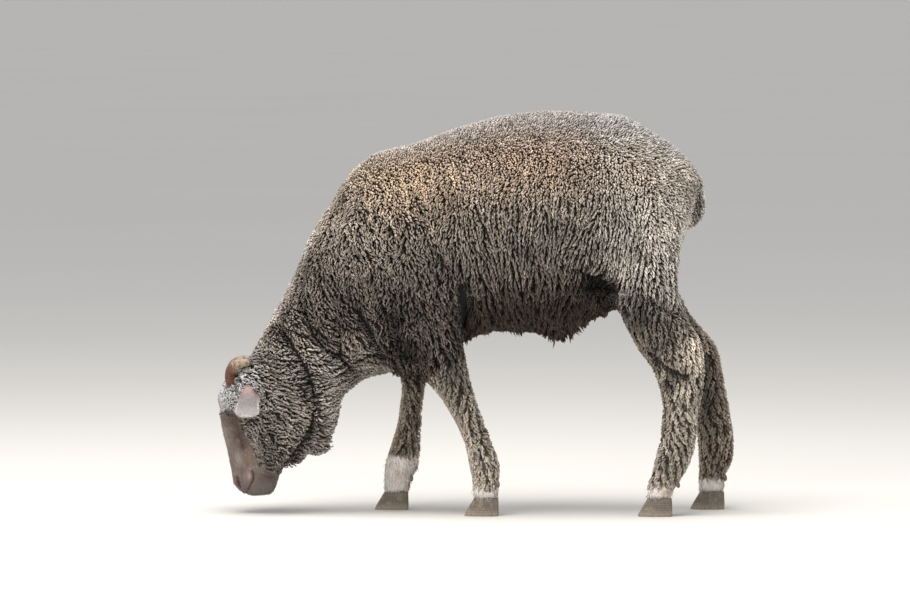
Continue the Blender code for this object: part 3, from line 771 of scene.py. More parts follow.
def markings(p, n, face, pastern, on):
    """The animal's colour at points p: wool with its painted light and shade, brow, bare face and socks.
    """
    px, py, pz = p.T
    brow = among(on, "head") * ramp(pz, 0.165, 0.185) * (1.0 - 0.85 * ramp(pz, 0.235, 0.265))
    colour = blend(wool_colours(p, n, on), FOREHEAD, brow * ramp(-0.370 - px, 0.0, 0.03))
    bare = patched(blend(FACE, MUZZLE, ramp(0.080 - pz, 0.0, 0.03)), p, FACE_PATCHES)
    bare = blend(bare, CHIN, ramp(px, -0.405, -0.385) * ramp(0.056 - pz, 0.0, 0.01))
    dirt = 0.12 + 0.75 * ramp(wander(p, 22 * MM, 43.0), 0.1, 0.7)
    sock = blend(WHITE, FOOT_TAN, dirt * ramp(pz, 0.028, 0.046) * ramp(n[:, 0], -0.7, 0.3))
    return blend(blend(colour, bare, face), sock, pastern)


skin_colour = markings(surface, normals, face, pastern, part_of)
print("mean colour:", skin_colour.mean(0).round(3))

# %% [markdown]
# ## Sink the skin and shape the face
# Now the skin goes in by the coat's depth, along its own normals, and the creases go deeper.
# The face is then worked as a modeller works clay. A tool is drawn along a few points that
# are found on the skin itself, and presses it in or raises it. One side is described, and
# both are shaped.

# %% Sink the skin under the wool
wool_edge = face * ramp(x - cheek_line, -26 * MM, -3 * MM) * ramp(side, 0.3, 0.7)
throat = part("neck", "head") * near_path(surface, THROAT_CORNER, 20 * MM)
sink = (depth + wool_edge * 6.5 * MM + crease * 11 * MM + hollow * 12 * MM
        - bulge * 6 * MM + throat * 10 * MM)
hide = surface - normals * sink[:, None]
hide = soften(hide, 3, where=1.0 - 0.6 * face)
hide_tree = BVHTree.FromPolygons(hide.tolist(), [tuple(square.vertices) for square in skin_mesh.polygons])
print("skin sunk; lowest point in mm:", round(float(hide[:, 2].min()) / MM, 1))


# %% A tool for folds, drawn along the skin
def touch(x=None, y=None, z=None):
    """The point of the skin where two of its coordinates are given, met from outside."""
    if y is None:
        start, way = (x, -1.0, z), (0.0, 1.0, 0.0)
    elif x is None:
        start, way = (-1.0, y, z), (1.0, 0.0, 0.0)
    else:
        start, way = (x, y, -1.0), (0.0, 0.0, 1.0)
    return np.array(hide_tree.ray_cast(Vector(start), Vector(way))[0])


def closeness(path, width):
    """1 on a path along the left side of the skin and its mirror, 0 two widths away."""
    folded = np.where(hide[:, 1:2] > 0.0, hide * (1.0, -1.0, 1.0), hide)
    return np.exp(-(away_from(path, folded) / width) ** 2)


def press(path, width, amount):
    """Presses the skin in along a path, or raises it where the amount is negative."""
    global hide
    near = closeness(path, width)
    hide = hide - normals * (near * amount)[:, None]
    return near


print("tip of the nose, met from below:", touch(x=-0.4200, y=0.0).round(3))

# %% Folds of the face
FACE_LINES = {  # half width and depth in mm, then corners, each with two of its x, y and z
    "nose edge": (15, 5.5, (-0.4460, None, 0.1500), (-0.4405, None, 0.1250), (-0.4340, None, 0.1000),
                  (-0.4290, None, 0.0820)),
    "nose side": (11, 3.0, (-0.4270, None, 0.1500), (-0.4230, None, 0.1200), (-0.4150, None, 0.0900)),
    "face ridge": (7, -1.6, (-0.4290, None, 0.1480), (-0.4200, None, 0.1180), (-0.4080, None, 0.0920)),
    "tear": (3.2, 2.6, (-0.4200, None, 0.1560), (-0.4150, None, 0.1400), (-0.4090, None, 0.1200)),
    "upper lip": (7, -2.0, (-0.4030, None, 0.0640), (-0.4060, None, 0.0480)),
    "chin pad": (8, -1.2, (-0.3850, None, 0.0520), (-0.3780, None, 0.0420)),
    "nostril wing": (4.0, -1.8, (-0.4205, None, 0.0670), (-0.4225, None, 0.0570), (None, -0.0130, 0.0560)),
    "nostril": (2.3, 5.0, (None, -0.0080, 0.0500), (None, -0.0135, 0.0580), (-0.4200, None, 0.0640),
                (-0.4180, None, 0.0550), (-0.4145, None, 0.0460)),
    "philtrum": (1.6, 2.0, (None, 0.0, 0.0560), (None, 0.0, 0.0450), (-0.4080, 0.0, None)),
    "mouth": (1.7, 4.5, (-0.3935, None, 0.0750), (-0.3905, None, 0.0660), (-0.3930, None, 0.0560),
              (-0.4000, None, 0.0430), (-0.4050, -0.014, None), (-0.4070, 0.0, None)),
}
lines = {}
pressed = {}
for name, (width, amount, *corners) in FACE_LINES.items():
    lines[name] = [touch(*corner) for corner in corners]
    pressed[name] = press(lines[name], width * MM, amount * MM)
hide = soften(hide, 1, 0.35, where=face)
print("points in each line:", {name: int((near > 0.5).sum()) for name, near in pressed.items()})

# %% [markdown]
# ## Eyes and lids
# A grazing sheep looks down, so the upper lid hangs low and the eye shows as a narrow almond.
# Lids could be shells of their own, but their seams would show. Here they are the same skin:
# near the eye it is drawn over a dome a little larger than the eyeball, opened along the
# almond, and creased above and below it.

# %% Lids drawn over the eyeballs
LID = 1.5 * MM
OPENING_LENGTH = 21 * MM
OPENING_HALF = 3.5 * MM
SLIT_LOW = 1.2 * MM                                 # how far the slit lies below the middle
FISSURE = unit(np.array([[-0.94, 0.0, 0.34]]))[0]   # from the back corner to the front one


class Socket:
    """The place of one eye: its centre, the way it faces, and its two cross directions."""

    def __init__(self, name, side):
        low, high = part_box(name)
        self.centre = np.array((low + high) / 2)
        self.radius = (high.z - low.z) / 2
        self.out = unit(np.array([[-0.50, side * 0.85, 0.02]]))[0]
        self.along = unit((FISSURE - self.out * (FISSURE @ self.out))[None])[0]
        self.up = np.cross(self.out, self.along) * -side

    def seen(self, points):
        """Places along the slit, across it and out of the head, from the eye's centre."""
        away = points - self.centre
        return away @ self.along, away @ self.up, away @ self.out


sockets = {"left": Socket("eye_left", -1.0), "right": Socket("eye_right", 1.0)}
lid_rim = np.zeros(len(hide))
lid_skin = np.zeros(len(hide))
for socket in sockets.values():
    a, b, out = socket.seen(hide)
    across = np.hypot(a, b)
    near = (across < 2.0 * socket.radius) & (out > -2 * MM) & (out < 30 * MM)
    dome = np.sqrt(np.maximum((socket.radius + LID) ** 2 - across ** 2, 0.0))
    lift = near * (1.0 - ramp(across, 0.80 * socket.radius, 1.35 * socket.radius))
    rim = OPENING_HALF * np.maximum(1.0 - (a / (OPENING_LENGTH / 2)) ** 2, 0.0)
    b = b + SLIT_LOW
    gap = np.abs(b) - rim
    wrinkle = (np.exp(-((gap - 0.9 * MM) / (0.9 * MM)) ** 2) * 0.5 * MM
               - np.exp(-((gap - 3.6 * MM) / (0.8 * MM)) ** 2) * np.where(b > 0, 1.0, 0.6) * MM
               - np.exp(-((gap - 6.6 * MM) / (0.9 * MM)) ** 2) * np.where(b > 0, 0.8, 0.0) * MM)
    open_eye = near * (np.abs(a) < OPENING_LENGTH / 2) * ramp(-gap, -0.2 * MM, 0.5 * MM)
    target = dome + wrinkle - open_eye * (LID + 3.0 * MM)
    hide = hide + socket.out * ((target - out) * lift)[:, None]
    lid_rim = np.maximum(lid_rim, lift * np.exp(-(gap / (1.3 * MM)) ** 2))
    lid_skin = np.maximum(lid_skin, lift)
    print("lid over an eye of radius", round(socket.radius / MM, 1), "mm:", (lift > 0.5).sum(), "points")

# %% [markdown]
# Lids, lips and nostrils are bare, and darker or redder than the hair round them, so the skin
# takes those colours where it was pressed; the dark in the grooves and openings is partly
# painted shade. Its mesh keeps each number that its finish reads.


# %% Put the skin's finished mesh together
def store(mesh, name, values, kind="FLOAT"):
    """Keeps a number or a colour at each point of a mesh, for its material to read."""
    layer = mesh.attributes.new(name, kind, "POINT")
    if kind == "FLOAT_COLOR":
        values = np.concatenate((values, np.ones((len(values), 1))), 1)
        layer.data.foreach_set("color", values.ravel())
    else:
        layer.data.foreach_set("value", np.asarray(values, float))


DARK_SKIN = shade_of(52, 38, 34)
RED_SKIN = shade_of(120, 66, 58)
# Dark bare skin at the lid rims, the tear groove, the nostrils and the mouth; the dark in these pressed
# grooves and openings is partly painted shade.
for shade, share, where in (
        (FACE_TAN, 0.65, lid_skin),
        (DARK_SKIN, 0.85, lid_rim),
        (FACE_TAN, 0.90, closeness(lines["tear"], 7.5 * MM)),
        (DARK_SKIN, 0.75, pressed["tear"]),
        (PINK, 0.50, closeness(lines["nostril wing"], 4 * MM)),
        (RED_SKIN, 0.50, closeness(lines["nostril"], 3.5 * MM)),
        (DARK_SKIN, 0.92, pressed["nostril"] ** 0.6),
        (RED_SKIN, 0.40, closeness(lines["mouth"], 3.2 * MM)),
        (DARK_SKIN, 0.85, pressed["mouth"]),
        (RED_SKIN, 0.50, pressed["philtrum"])):
    skin_colour = blend(skin_colour, shade, share * where)
skin_mesh.vertices.foreach_set("co", hide.ravel())
skin_mesh.update()
store(skin_mesh, "marking", skin_colour, "FLOAT_COLOR")
# wool: where the skin is under wool, and how dark its painted shade is there, darker in the furrows;
# crease: where its folds are painted nearly black.
store(skin_mesh, "wool", (1.0 - short) * (0.20 + 0.80 * furrow))
store(skin_mesh, "crease", crease)
skin_mesh.shade_smooth()
print("skin points:", len(skin_mesh.vertices))

# %% [markdown]
# ## The finish of the skin
# Where wool covers it, the skin only shows as dark gaps between locks, so there it is painted
# dark, as painted shade, and nearly black in the folds. The face and the feet show it through
# short hair, which lies down the nose in fine streaks over mottled colour.

# %% Skin finish
skin_finish = Finish("skin", roughness=0.72)
under_wool = skin_finish.kept_number("wool")
patches = skin_finish.noise(55.0, detail=5.0, roughness=0.65)
flecks = skin_finish.noise(420.0, detail=2.0)
streaks = skin_finish.noise(1100.0, squeeze=(1.0, 1.0, 0.16), turn=(0.0, -0.25, 0.0))
# Painted shade: under the wool the skin is painted dark, as the shade in the gaps between locks, with
# their dirt; in the folds it is painted nearly black.
skin_tone = skin_finish.kept("marking").times(shade_of(120, 106, 94), under_wool)
skin_tone = skin_tone.times((0.10, 0.08, 0.07), skin_finish.kept_number("crease"))
skin_tone = skin_tone.times((0.70, 0.64, 0.60), patches.ramp(0.46, 0.68) * 0.55)
skin_tone = skin_tone.times((0.80, 0.76, 0.72), flecks.ramp(0.50, 0.70) * 0.5)
skin_tone = skin_tone.to(shade_of(214, 206, 196), streaks.ramp(0.52, 0.74) * 0.35 * (1.0 - under_wool))
skin_finish.colour(skin_tone)
skin_finish.rough(0.78 - patches * 0.16)
skin_finish.bump(streaks * 0.8 + flecks * 0.5, 0.55, 0.5 * MM)
skin_mesh.materials.clear()
skin_mesh.materials.append(skin_finish.material)
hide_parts(*FLESH)
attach(skin, "root")
print("skin nodes:", len(skin_finish.tree.nodes))

# %% [markdown]
# ## Where each lock grows
# Locks need an even but irregular spread. Points are thrown at random over the skin, thickest
# where the locks stand closest, and taken one by one; each one taken clears its surroundings.
# Blender can scatter points too, but here each point also knows its triangle, so that it can
# read every number of the skin.


# %% Points on a surface
class Roots:
    """Points on a surface, which can read any of the surface's values at their places."""

    def __init__(self, rows, shares):
        self.rows = rows            # the three corners of each point's triangle
        self.shares = shares        # how near the point is to each of them

    def read(self, values):
        taken = np.asarray(values)[self.rows]
        shares = self.shares if taken.ndim == 2 else self.shares[:, :, None]
        return (taken * shares).sum(1)

    def pick(self, chosen):
        return Roots(self.rows[chosen], self.shares[chosen])


def tree_of(points):
    tree = KDTree(len(points))
    for index, point in enumerate(points):
        tree.insert(point, index)
    tree.balance()
    return tree


def triangles_of(mesh):
    mesh.calc_loop_triangles()
    rows = np.empty(len(mesh.loop_triangles) * 3, int)
    mesh.loop_triangles.foreach_get("vertices", rows)
    return rows.reshape(-1, 3)


skin_triangles = triangles_of(skin_mesh)
print("skin triangles:", len(skin_triangles))

# %% Scatter the roots of the wool
THROWN = 3.5                # points thrown for each square of the gap's size
CLEARED = 0.80              # the part of the gap that a point clears round it


def scatter(points, triangles, gap, share):
    """Roots about one gap apart; the share of the coat at a point is its chance of one."""
    a, b, c = (points[triangles[:, k]] for k in range(3))
    area = np.linalg.norm(np.cross(b - a, c - a), axis=1) / 2
    wanted = THROWN * area * share[triangles].mean(1) / gap[triangles].mean(1) ** 2
    chosen = np.repeat(np.arange(len(triangles)), rng.poisson(wanted))
    rng.shuffle(chosen)
    u, v = rng.random((2, len(chosen)))
    over = u + v > 1.0
    u[over], v[over] = 1.0 - u[over], 1.0 - v[over]
    roots = Roots(triangles[chosen], np.stack((1.0 - u - v, u, v), 1))
    places = roots.read(points)
    reach = roots.read(gap) * CLEARED
    tree = tree_of(places)
    free = np.ones(len(places), bool)
    kept = []
    for index in range(len(places)):
        if free[index]:
            kept.append(index)
            for _, other, _ in tree.find_range(places[index], reach[index]):
                free[other] = False
    return roots.pick(np.array(kept))


rng = np.random.default_rng(7)      # the one source of chance, so that each run grows the same coat
hide_normals = unit(soften(vectors(skin_mesh.vertices, "normal"), 4))
cut = ramp(crease - 0.9 * hollow, 0.50, 0.75)       # the bottom of a fold is bare
cut = np.maximum(cut, 1.0 - ramp(from_eye, 15 * MM, 18 * MM))
wool_roots = scatter(hide, skin_triangles, space, (1.0 - short) * (1.0 - cut))
print("wool locks:", len(wool_roots.rows))

# %% [markdown]
# ## Ridges
# Wool parts along lines: neighbouring locks stick together in ridges that follow the lie of
# the coat. A ridge is one point and two sizes, its width and its length, and every lock joins
# the ridge that is nearest when distances along the lie are shrunk.

# %% Lay out the ridges
OWN_GROUND = 0.72           # how much of a ridge's oval no other ridge may start in
RIVALS = 24                 # how many ridges near a lock are tried for it


def gather(roots):
    """Chooses ridge middles, and gives each lock its ridge and its place across it."""
    points = roots.read(hide)
    flow = unit(roots.read(lie))
    across = unit(np.cross(roots.read(hide_normals), flow))
    width = roots.read(ridge_width) * rng.uniform(0.75, 1.30, len(points))
    length = roots.read(ridge_length) * rng.uniform(0.65, 1.35, len(points))
    tree = tree_of(points)
    free = np.ones(len(points), bool)
    centres = []
    for index in rng.permutation(len(points)):
        if not free[index]:
            continue
        centres.append(index)
        near = np.array([item[1] for item in tree.find_range(points[index], length[index])])
        away = points[near] - points[index]
        apart = ((away @ across[index] / width[index]) ** 2
                 + (away @ flow[index] / length[index]) ** 2)
        free[near[apart < OWN_GROUND]] = False
    centres = np.array(centres)
    tree = tree_of(points[centres])
    near = np.array([[item[1] for item in tree.find_n(point, RIVALS)] for point in points])
    mids = centres[near]
    away = points[:, None, :] - points[mids]
    off = (away * across[mids]).sum(2)
    along = (away * flow[mids]).sum(2)
    lift = np.maximum((away ** 2).sum(2) - off ** 2 - along ** 2, 0.0)
    apart = (off / width[mids]) ** 2 + (along / length[mids]) ** 2 + lift / width[mids] ** 2
    best = apart.argmin(1)
    rows = np.arange(len(points))
    mids = mids[rows, best]
    return near[rows, best], off[rows, best], across[mids], width[mids]


ridge_of, ridge_off, ridge_across, ridge_half = gather(wool_roots)
ridges = ridge_of.max() + 1
print("ridges:", ridges)

# %% [markdown]
# ## One lock
# Blender's own hair would do for a picture, but a shared part needs its coat as mesh. So a lock
# is a thin three-sided strand that starts under the skin, rises, curls round its own line and
# bends over at the tip. It ends blunt, as cut wool does. All locks of a piece are built at
# once, as arrays: the same little pattern of rings and faces, repeated.

# %% Build many locks as one mesh
SIDES = 3
SUNK = 1.5 * MM             # how far a lock starts under the skin


def lock_faces(rings):
    """Triangles of one lock: its root, the bands between its rings, and its tip."""
    faces = [(0, 2, 1)]
    for k in range(rings - 1):
        for j in range(SIDES):
            n = (j + 1) % SIDES
            low, high = k * SIDES, (k + 1) * SIDES
            faces += [(low + j, low + n, high + n), (low + j, high + n, high + j)]
    last = (rings - 1) * SIDES
    return faces + [(last + j, last + (j + 1) % SIDES, rings * SIDES) for j in range(SIDES)]


def locks(root, normal, flow, rise, run, half, steps, sideways, curl, thin=0.6, droop=0.5, roll=math.pi,
          sunk=SUNK):
    """Points and triangles of many locks, each point's place on its lock, and a lock's size.

    Rise is how high a lock stands, run how far it lies over, half its half width, and curl
    how far it swings round its own line; steps are the places of its rings, from 0 to 1.
    Thin is how flat it is, droop how far its tip bends down, and roll how far it may turn.
    """
    count = len(root)
    across = unit(np.cross(normal, flow))
    roll = rng.uniform(-1.0, 1.0, count) * roll
    phase = rng.uniform(0.0, 2 * math.pi, count)
    turns = rng.choice([-1.0, 1.0], count) * rng.uniform(5.0, 8.5, count)
    centres = []
    for s in steps:
        up = rise * math.sin(s * math.pi * droop) - (1.0 - s) * sunk
        swing = curl * math.sqrt(s)
        out = swing * np.sin(phase + s * turns)
        ahead = swing * np.cos(phase + s * turns) + run * s ** 1.4
        centres.append(root + normal * up[:, None] + flow * ahead[:, None]
                       + sideways * (s * s * (3 - 2 * s)) + across * out[:, None])
    centres = np.stack(centres, 1)
    points = []
    tips = []
    for k, s in enumerate(steps[:-1]):
        heading = unit(centres[:, k + 1] - centres[:, max(k - 1, 0)])
        wide = across * np.cos(roll)[:, None] + normal * np.sin(roll)[:, None]
        wide = unit(wide - heading * (wide * heading).sum(1)[:, None])
        thick = np.cross(heading, wide)
        girth = half * (0.80 + 0.25 * math.sin(s * math.pi)) * (1.0 - 0.30 * s ** 4)
        for j in range(SIDES):
            angle = 2 * math.pi * j / SIDES
            points.append(centres[:, k] + wide * (girth * math.cos(angle))[:, None]
                          + thick * (girth * thin * math.sin(angle))[:, None])
            tips.append((s, j / SIDES))
    points.append(centres[:, -1])
    tips.append((1.0, 0.5))
    size = len(points)
    points = np.stack(points, 1).reshape(-1, 3)
    starts = np.arange(count) * size
    faces = (np.array(lock_faces(len(steps) - 1))[None] + starts[:, None, None]).reshape(-1, 3)
    return points, faces, np.tile(np.array(tips), (count, 1)), size


print("triangles in a lock of three rings and a tip:", len(lock_faces(3)))

# %% [markdown]
# Each piece of coat carries a map for baking, in which a lock is one small patch. The patch
# lies where the lock's root lies when the piece is unrolled round a line through its middle,
# so that neighbours on the animal are neighbours on the map.

# %% Make one piece of coat
PATCH = 0.003               # how much of the map one lock covers
TIP_LIGHT = 1.22            # how light a lock is at its tip


def unrolled(root, spine):
    """Places from 0 to 1 on a sheet wrapped round the spine, a line between two points."""
    start, end = np.array(spine, float)
    axis = (end - start) / np.linalg.norm(end - start)
    away = root - start
    along = away @ axis
    out = away - along[:, None] * axis
    first = np.cross(axis, (0.0, 1.0, 0.0))
    first = first / np.linalg.norm(first)
    angle = np.arctan2(out @ np.cross(axis, first), out @ first)
    place = np.stack((along, angle), 1)
    return (place - place.min(0)) / np.maximum(np.ptp(place, 0), 1e-9) * (1 - PATCH)


def make_coat(name, built, root, colour, shade, spine, finish, gaps=0.8):
    """The mesh of one piece of coat, with its colours and its map for baking.

    Gaps is how light a lock is at its root, where 1 leaves its colour as it is.
    """
    points, faces, tips, size = built
    gaps = np.broadcast_to(gaps, len(root))
    mesh = bpy.data.meshes.new(name)
    mesh.vertices.add(len(points))
    mesh.loops.add(len(faces) * 3)
    mesh.polygons.add(len(faces))
    mesh.vertices.foreach_set("co", points.ravel())
    mesh.loops.foreach_set("vertex_index", faces.ravel())
    mesh.polygons.foreach_set("loop_start", np.arange(len(faces)) * 3)
    mesh.update(calc_edges=True)
    store(mesh, "marking", np.repeat(colour, size, 0), "FLOAT_COLOR")
    tone = ramp(tips[:, 0], 0.05, 0.90)
    gap_light = np.repeat(gaps, size)
    store(mesh, "shade", np.repeat(shade, size) * (gap_light + (TIP_LIGHT - gap_light) * tone))
    store(mesh, "tip", tips[:, 0])
    spots = np.repeat(unrolled(root, spine), size, 0) + tips[:, ::-1] * PATCH
    layer = mesh.uv_layers.new(name="OFBake")
    layer.data.foreach_set("uv", spots[faces.ravel()].ravel())
    mesh.materials.append(finish.material)
    mesh.shade_smooth()
    obj = placed(name, mesh)
    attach(obj, "root")
    print(name, len(root), "locks,", len(faces), "triangles")


print("locks side by side on a map:", round(1 / PATCH))

# %% [markdown]
# ## The finish of wool
# Each lock carries the animal's marking, its shade, which is partly its own tone and partly
# painted shade, and the step from root to tip. Wool is dark with shadow and grease near the
# root, and bleached and dusty at the tip. Merino is crimped: bands cross each lock a few
# millimetres apart, which is relief too fine for mesh; the finish bumps them and paints shade
# between them.

# %% Wool finish
wool_finish = Finish("wool", roughness=0.9)
tip = wool_finish.kept_number("tip")
shade = wool_finish.kept_number("shade")
grey_shade = wool_finish.node("ShaderNodeCombineColor", {}, {0: shade, 1: shade, 2: shade})
warmth = wool_finish.mix("MIX", (1.0, 0.90, 0.80), (1.0, 1.0, 1.0), tip.ramp(0.0, 0.8))
fibres = wool_finish.noise(800.0, detail=2.0)
dust = wool_finish.noise(70.0, detail=3.0)
crimp = (tip * 58.0 + shade * 40.0 + fibres * 3.0).wave()
wool_tone = wool_finish.kept("marking").times(warmth).times(grey_shade)
wool_tone = wool_tone.times((0.72, 0.67, 0.62), dust.ramp(0.50, 0.75) * 0.55)
# Painted shade in the troughs between crimp bands and between fibres.
crimp_shade = crimp.ramp(-0.2, 1.0) * 0.35 + fibres.ramp(0.45, 0.65) * 0.35
wool_tone = wool_tone.times((0.72, 0.71, 0.70), crimp_shade)
wool_finish.colour(wool_tone)
wool_finish.bump(crimp * 0.35 + fibres, 0.6, 0.6 * MM)
print("wool nodes:", len(wool_finish.tree.nodes))

# %% [markdown]
# ## The fleece
# Locks at the edge of a ridge are shorter and lean in to its crown, which is what opens the
# dark gap between ridges. No two lie quite alike.

# %% Numbers for every wool lock
count = len(wool_roots.rows)
root_at = wool_roots.read(hide)
root_x, _, root_z = root_at.T
root_normal = unit(wool_roots.read(hide_normals))
root_part = part_of[wool_roots.rows[:, 0]]
root_depth = wool_roots.read(depth)
root_crease = wool_roots.read(crease)
root_furrow = wool_roots.read(furrow)
root_gloom = wool_roots.read(gloom)
on_leg = among(root_part, *LEGS)
dim = (1.0 - on_leg) * ramp(0.46 - root_z, 0.0, 0.10) * ramp(root_x, -0.20, -0.10)

ridge_rise = 1.0 + rng.uniform(-0.14, 0.06, ridges)[ridge_of] * root_furrow
ridge_shade = 1.0 + rng.normal(0.0, 0.16, ridges)[ridge_of] * (0.4 + 0.6 * root_furrow)
edge = np.clip(np.abs(ridge_off) / (ridge_half * 0.5), 0.0, 1.2) * (0.3 + 0.7 * root_furrow)
edge_low = 0.34 + 0.20 * dim + 0.16 * on_leg
rise = (root_depth * ridge_rise * (1.0 - edge_low * edge ** 3) * rng.uniform(0.94, 1.06, count)
        * (1.0 - 0.70 * root_crease))
run = wool_roots.read(over) * rng.uniform(0.75, 1.25, count) * (1.0 - 0.65 * root_gloom)
print("locks stand in mm:", (np.percentile(rise, (5, 50, 95)) / MM).round(1))

# %% [markdown]
# A lock turns a little from its ridge's line, and more where the wool is curly, on the neck and
# shoulder. The crown of a ridge is light, and its edges and the folds are dark: real shadow
# does part of that, and painted shade in each lock's colour does the rest.

# %% Which way each lock lies, and how light it is
ridge_turn = rng.normal(0.0, 0.12, ridges)[ridge_of]
turn = ridge_turn + rng.normal(0.0, 0.12, count) + rng.normal(0.0, 0.5, count) * (1.0 - root_furrow)
curly = (1.0 - on_leg) * ramp(0.02 - root_x, 0.0, 0.12) * (0.62 - 0.34 * ramp(-0.21 - root_x, 0.0, 0.08))
turn = turn + curly * (1.1 * wander(root_at, 16 * MM, 91.0) + 0.8 * wander(root_at, 7 * MM, 57.0))
flow = unit(unit(np.cross(ridge_across, root_normal)) + ridge_across * turn[:, None])
sideways = -ridge_across * (ridge_off * (0.15 + 0.38 * root_furrow))[:, None]
half = wool_roots.read(lock_half) * rng.uniform(0.88, 1.15, count) * (1.25 - 0.25 * root_furrow)
half = half * (1.0 - 0.14 * dim)

# Painted shade: locks at a ridge's edges, in folds and hollows, and near their roots are painted darker,
# more so low on the front of the trunk.
edge_dark = 0.40 + 0.35 * dim + 0.25 * on_leg
lock_shade = ridge_shade * rng.normal(1.02, 0.17, count) * (1.0 - edge_dark * edge ** 3)
lock_shade = lock_shade * (1.0 - 0.70 * root_gloom)
lock_shade = lock_shade * (1.0 + 0.22 * root_furrow * wander(root_at, 12 * MM, 29.0))
lock_shade = lock_shade * (1.0 + rng.normal(0.20, 0.20, count) * dim)
root_light = (np.minimum(0.14 + 1.50 * (1.0 - root_furrow), 1.0) + 0.10 * on_leg) * (1.0 - 0.6 * dim)
lock_colour = markings(wool_roots.read(surface), root_normal, wool_roots.read(face),
                       wool_roots.read(pastern), root_part)
print("locks turn by up to", round(math.degrees(np.arctan(np.abs(turn).max()))), "degrees")

# %% [markdown]
# One mesh of all the wool would be too heavy to open or to bake, so it is made in pieces: six
# on the trunk, two each on the neck and the head, one on the tail and one on each leg.

# %% The wool, piece by piece
WOOL_STEPS = (0.0, 0.42, 0.76, 1.0)
CURLY_STEPS = (0.0, 0.26, 0.50, 0.72, 0.90, 1.0)
NECK_SPINE = ((-0.13, 0.0, 0.45), (-0.33, 0.0, 0.20))
TRUNK_SPINE = ((-0.25, 0.0, 0.45), (0.40, 0.0, 0.50))
HEAD_SPINE = ((-0.34, 0.0, 0.32), (-0.39, 0.0, 0.03))
TAIL_SPINE = ((0.37, 0.0, 0.60), (0.37, 0.0, 0.48))
TRUNK_PIECES = {"front": (-1.0, -0.03), "middle": (-0.03, 0.165), "back": (0.165, 1.0)}


def leg_spine(name):
    low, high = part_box(name)
    across, along = (low.x + high.x) / 2, (low.y + high.y) / 2
    return ((across, along, high.z), (across, along, low.z))


def wool_piece(name, chosen, spine, thin=0.85, roll=math.pi, steps=WOOL_STEPS, curl=0.8 * MM):
    rows = np.flatnonzero(chosen)
    built = locks(root_at[rows], root_normal[rows], flow[rows], rise[rows], run[rows], half[rows],
                  steps, sideways[rows], curl, thin, droop=0.74, roll=roll)
    make_coat(name, built, root_at[rows], lock_colour[rows], lock_shade[rows], spine, wool_finish,
              root_light[rows])


left = root_at[:, 1] < 0.0
for side_name, this_side in (("left", left), ("right", ~left)):
    for piece_name, (low, high) in TRUNK_PIECES.items():
        span = (root_x >= low) & (root_x < high)
        wool_piece(f"wool_trunk_{side_name}_{piece_name}", among(root_part, "trunk") & this_side & span,
                   TRUNK_SPINE)
    wool_piece(f"wool_neck_{side_name}", among(root_part, "neck") & this_side, NECK_SPINE, curl=1.1 * MM)
    wool_piece(f"wool_head_{side_name}", among(root_part, "head") & this_side, HEAD_SPINE,
               steps=CURLY_STEPS, curl=1.3 * MM)
wool_piece("wool_tail", among(root_part, "tail"), TAIL_SPINE)
for leg in LEGS:
    wool_piece("wool_" + leg, among(root_part, leg), leg_spine(leg), thin=0.6, roll=0.5)

# %% [markdown]
# ## Matted wool under the belly
# Damp and dirt felt the belly wool into flat points that hang below the rest. Longer locks
# alone would look combed. So clumps are chosen at random, and the locks round the middle of
# each one lean in to it and hang as far as it does.

# %% Hanging belly locks
CLUMP = 14 * MM             # how far a clump gathers wool from
LOCKS_A_CLUMP = 16
LONGEST = 22 * MM           # how far a clump hangs, apart from the one long tuft
TUFT_X = 0.155              # where that hangs
BELLY_STEPS = (0.0, 0.25, 0.5, 0.75, 1.0)

under = among(root_part, "trunk") & (root_normal[:, 2] < -0.2) & (root_z < 0.40)
rows = np.flatnonzero(under & (rng.random(count) < 0.8))
middles = root_at[rng.choice(rows, len(rows) // LOCKS_A_CLUMP, replace=False)]
clump_hang = np.minimum(rng.gamma(1.3, 6.5 * MM, len(middles)) + 2 * MM, LONGEST)
in_tuft = np.exp(-((middles[:, 0] - TUFT_X) / (14 * MM)) ** 2)
clump_hang += 24 * MM * in_tuft * rng.uniform(0.3, 1.0, len(middles))
clump_lean = rng.normal((0.15, 0.0, 0.0), (0.35, 0.25, 0.0), (len(middles), 3))
clump_tree = tree_of(middles)
found = [clump_tree.find(point)[1:] for point in root_at[rows]]
clump = np.array([item[0] for item in found])
apart = np.array([item[1] for item in found]) / CLUMP
rows, clump, apart = rows[apart < 1.0], clump[apart < 1.0], apart[apart < 1.0]
hang = clump_hang[clump] * (1.0 - 0.5 * apart) * rng.uniform(0.35, 1.1, len(rows))
down = unit(clump_lean[clump] - (0.0, 0.0, 1.0) - root_normal[rows] * 0.3)
gathered = (middles[clump] - root_at[rows]) * 0.30
felted = locks(root_at[rows], root_normal[rows], down, root_depth[rows] * 0.60, hang,
               np.full(len(rows), 2.4 * MM), BELLY_STEPS, gathered, 1.6 * MM)
belly_shade = lock_shade[rows] * rng.uniform(0.5, 1.4, len(rows))
make_coat("belly_locks", felted, root_at[rows], lock_colour[rows], belly_shade, TRUNK_SPINE, wool_finish,
          root_light[rows])

# %% [markdown]
# ## Short hair
# The face and the feet are covered with hair a few millimetres long that lies flat. The skin's
# own finish shows most of it; these thin wisps break the outline and catch the light.

# %% Hair finish and short hair
hair_finish = Finish("short_hair", roughness=0.7)
hair_mottle = hair_finish.noise(90.0)
hair_tone = hair_finish.kept("marking").times((0.80, 0.78, 0.76), 1.0 - hair_finish.kept_number("tip"))
hair_tone = hair_tone.times((0.75, 0.72, 0.70), hair_mottle.ramp(0.45, 0.7) * 0.6)
hair_finish.colour(hair_tone)
HAIR_STEPS = (0.0, 0.5, 1.0)
HAIR_PALE = shade_of(206, 200, 192)


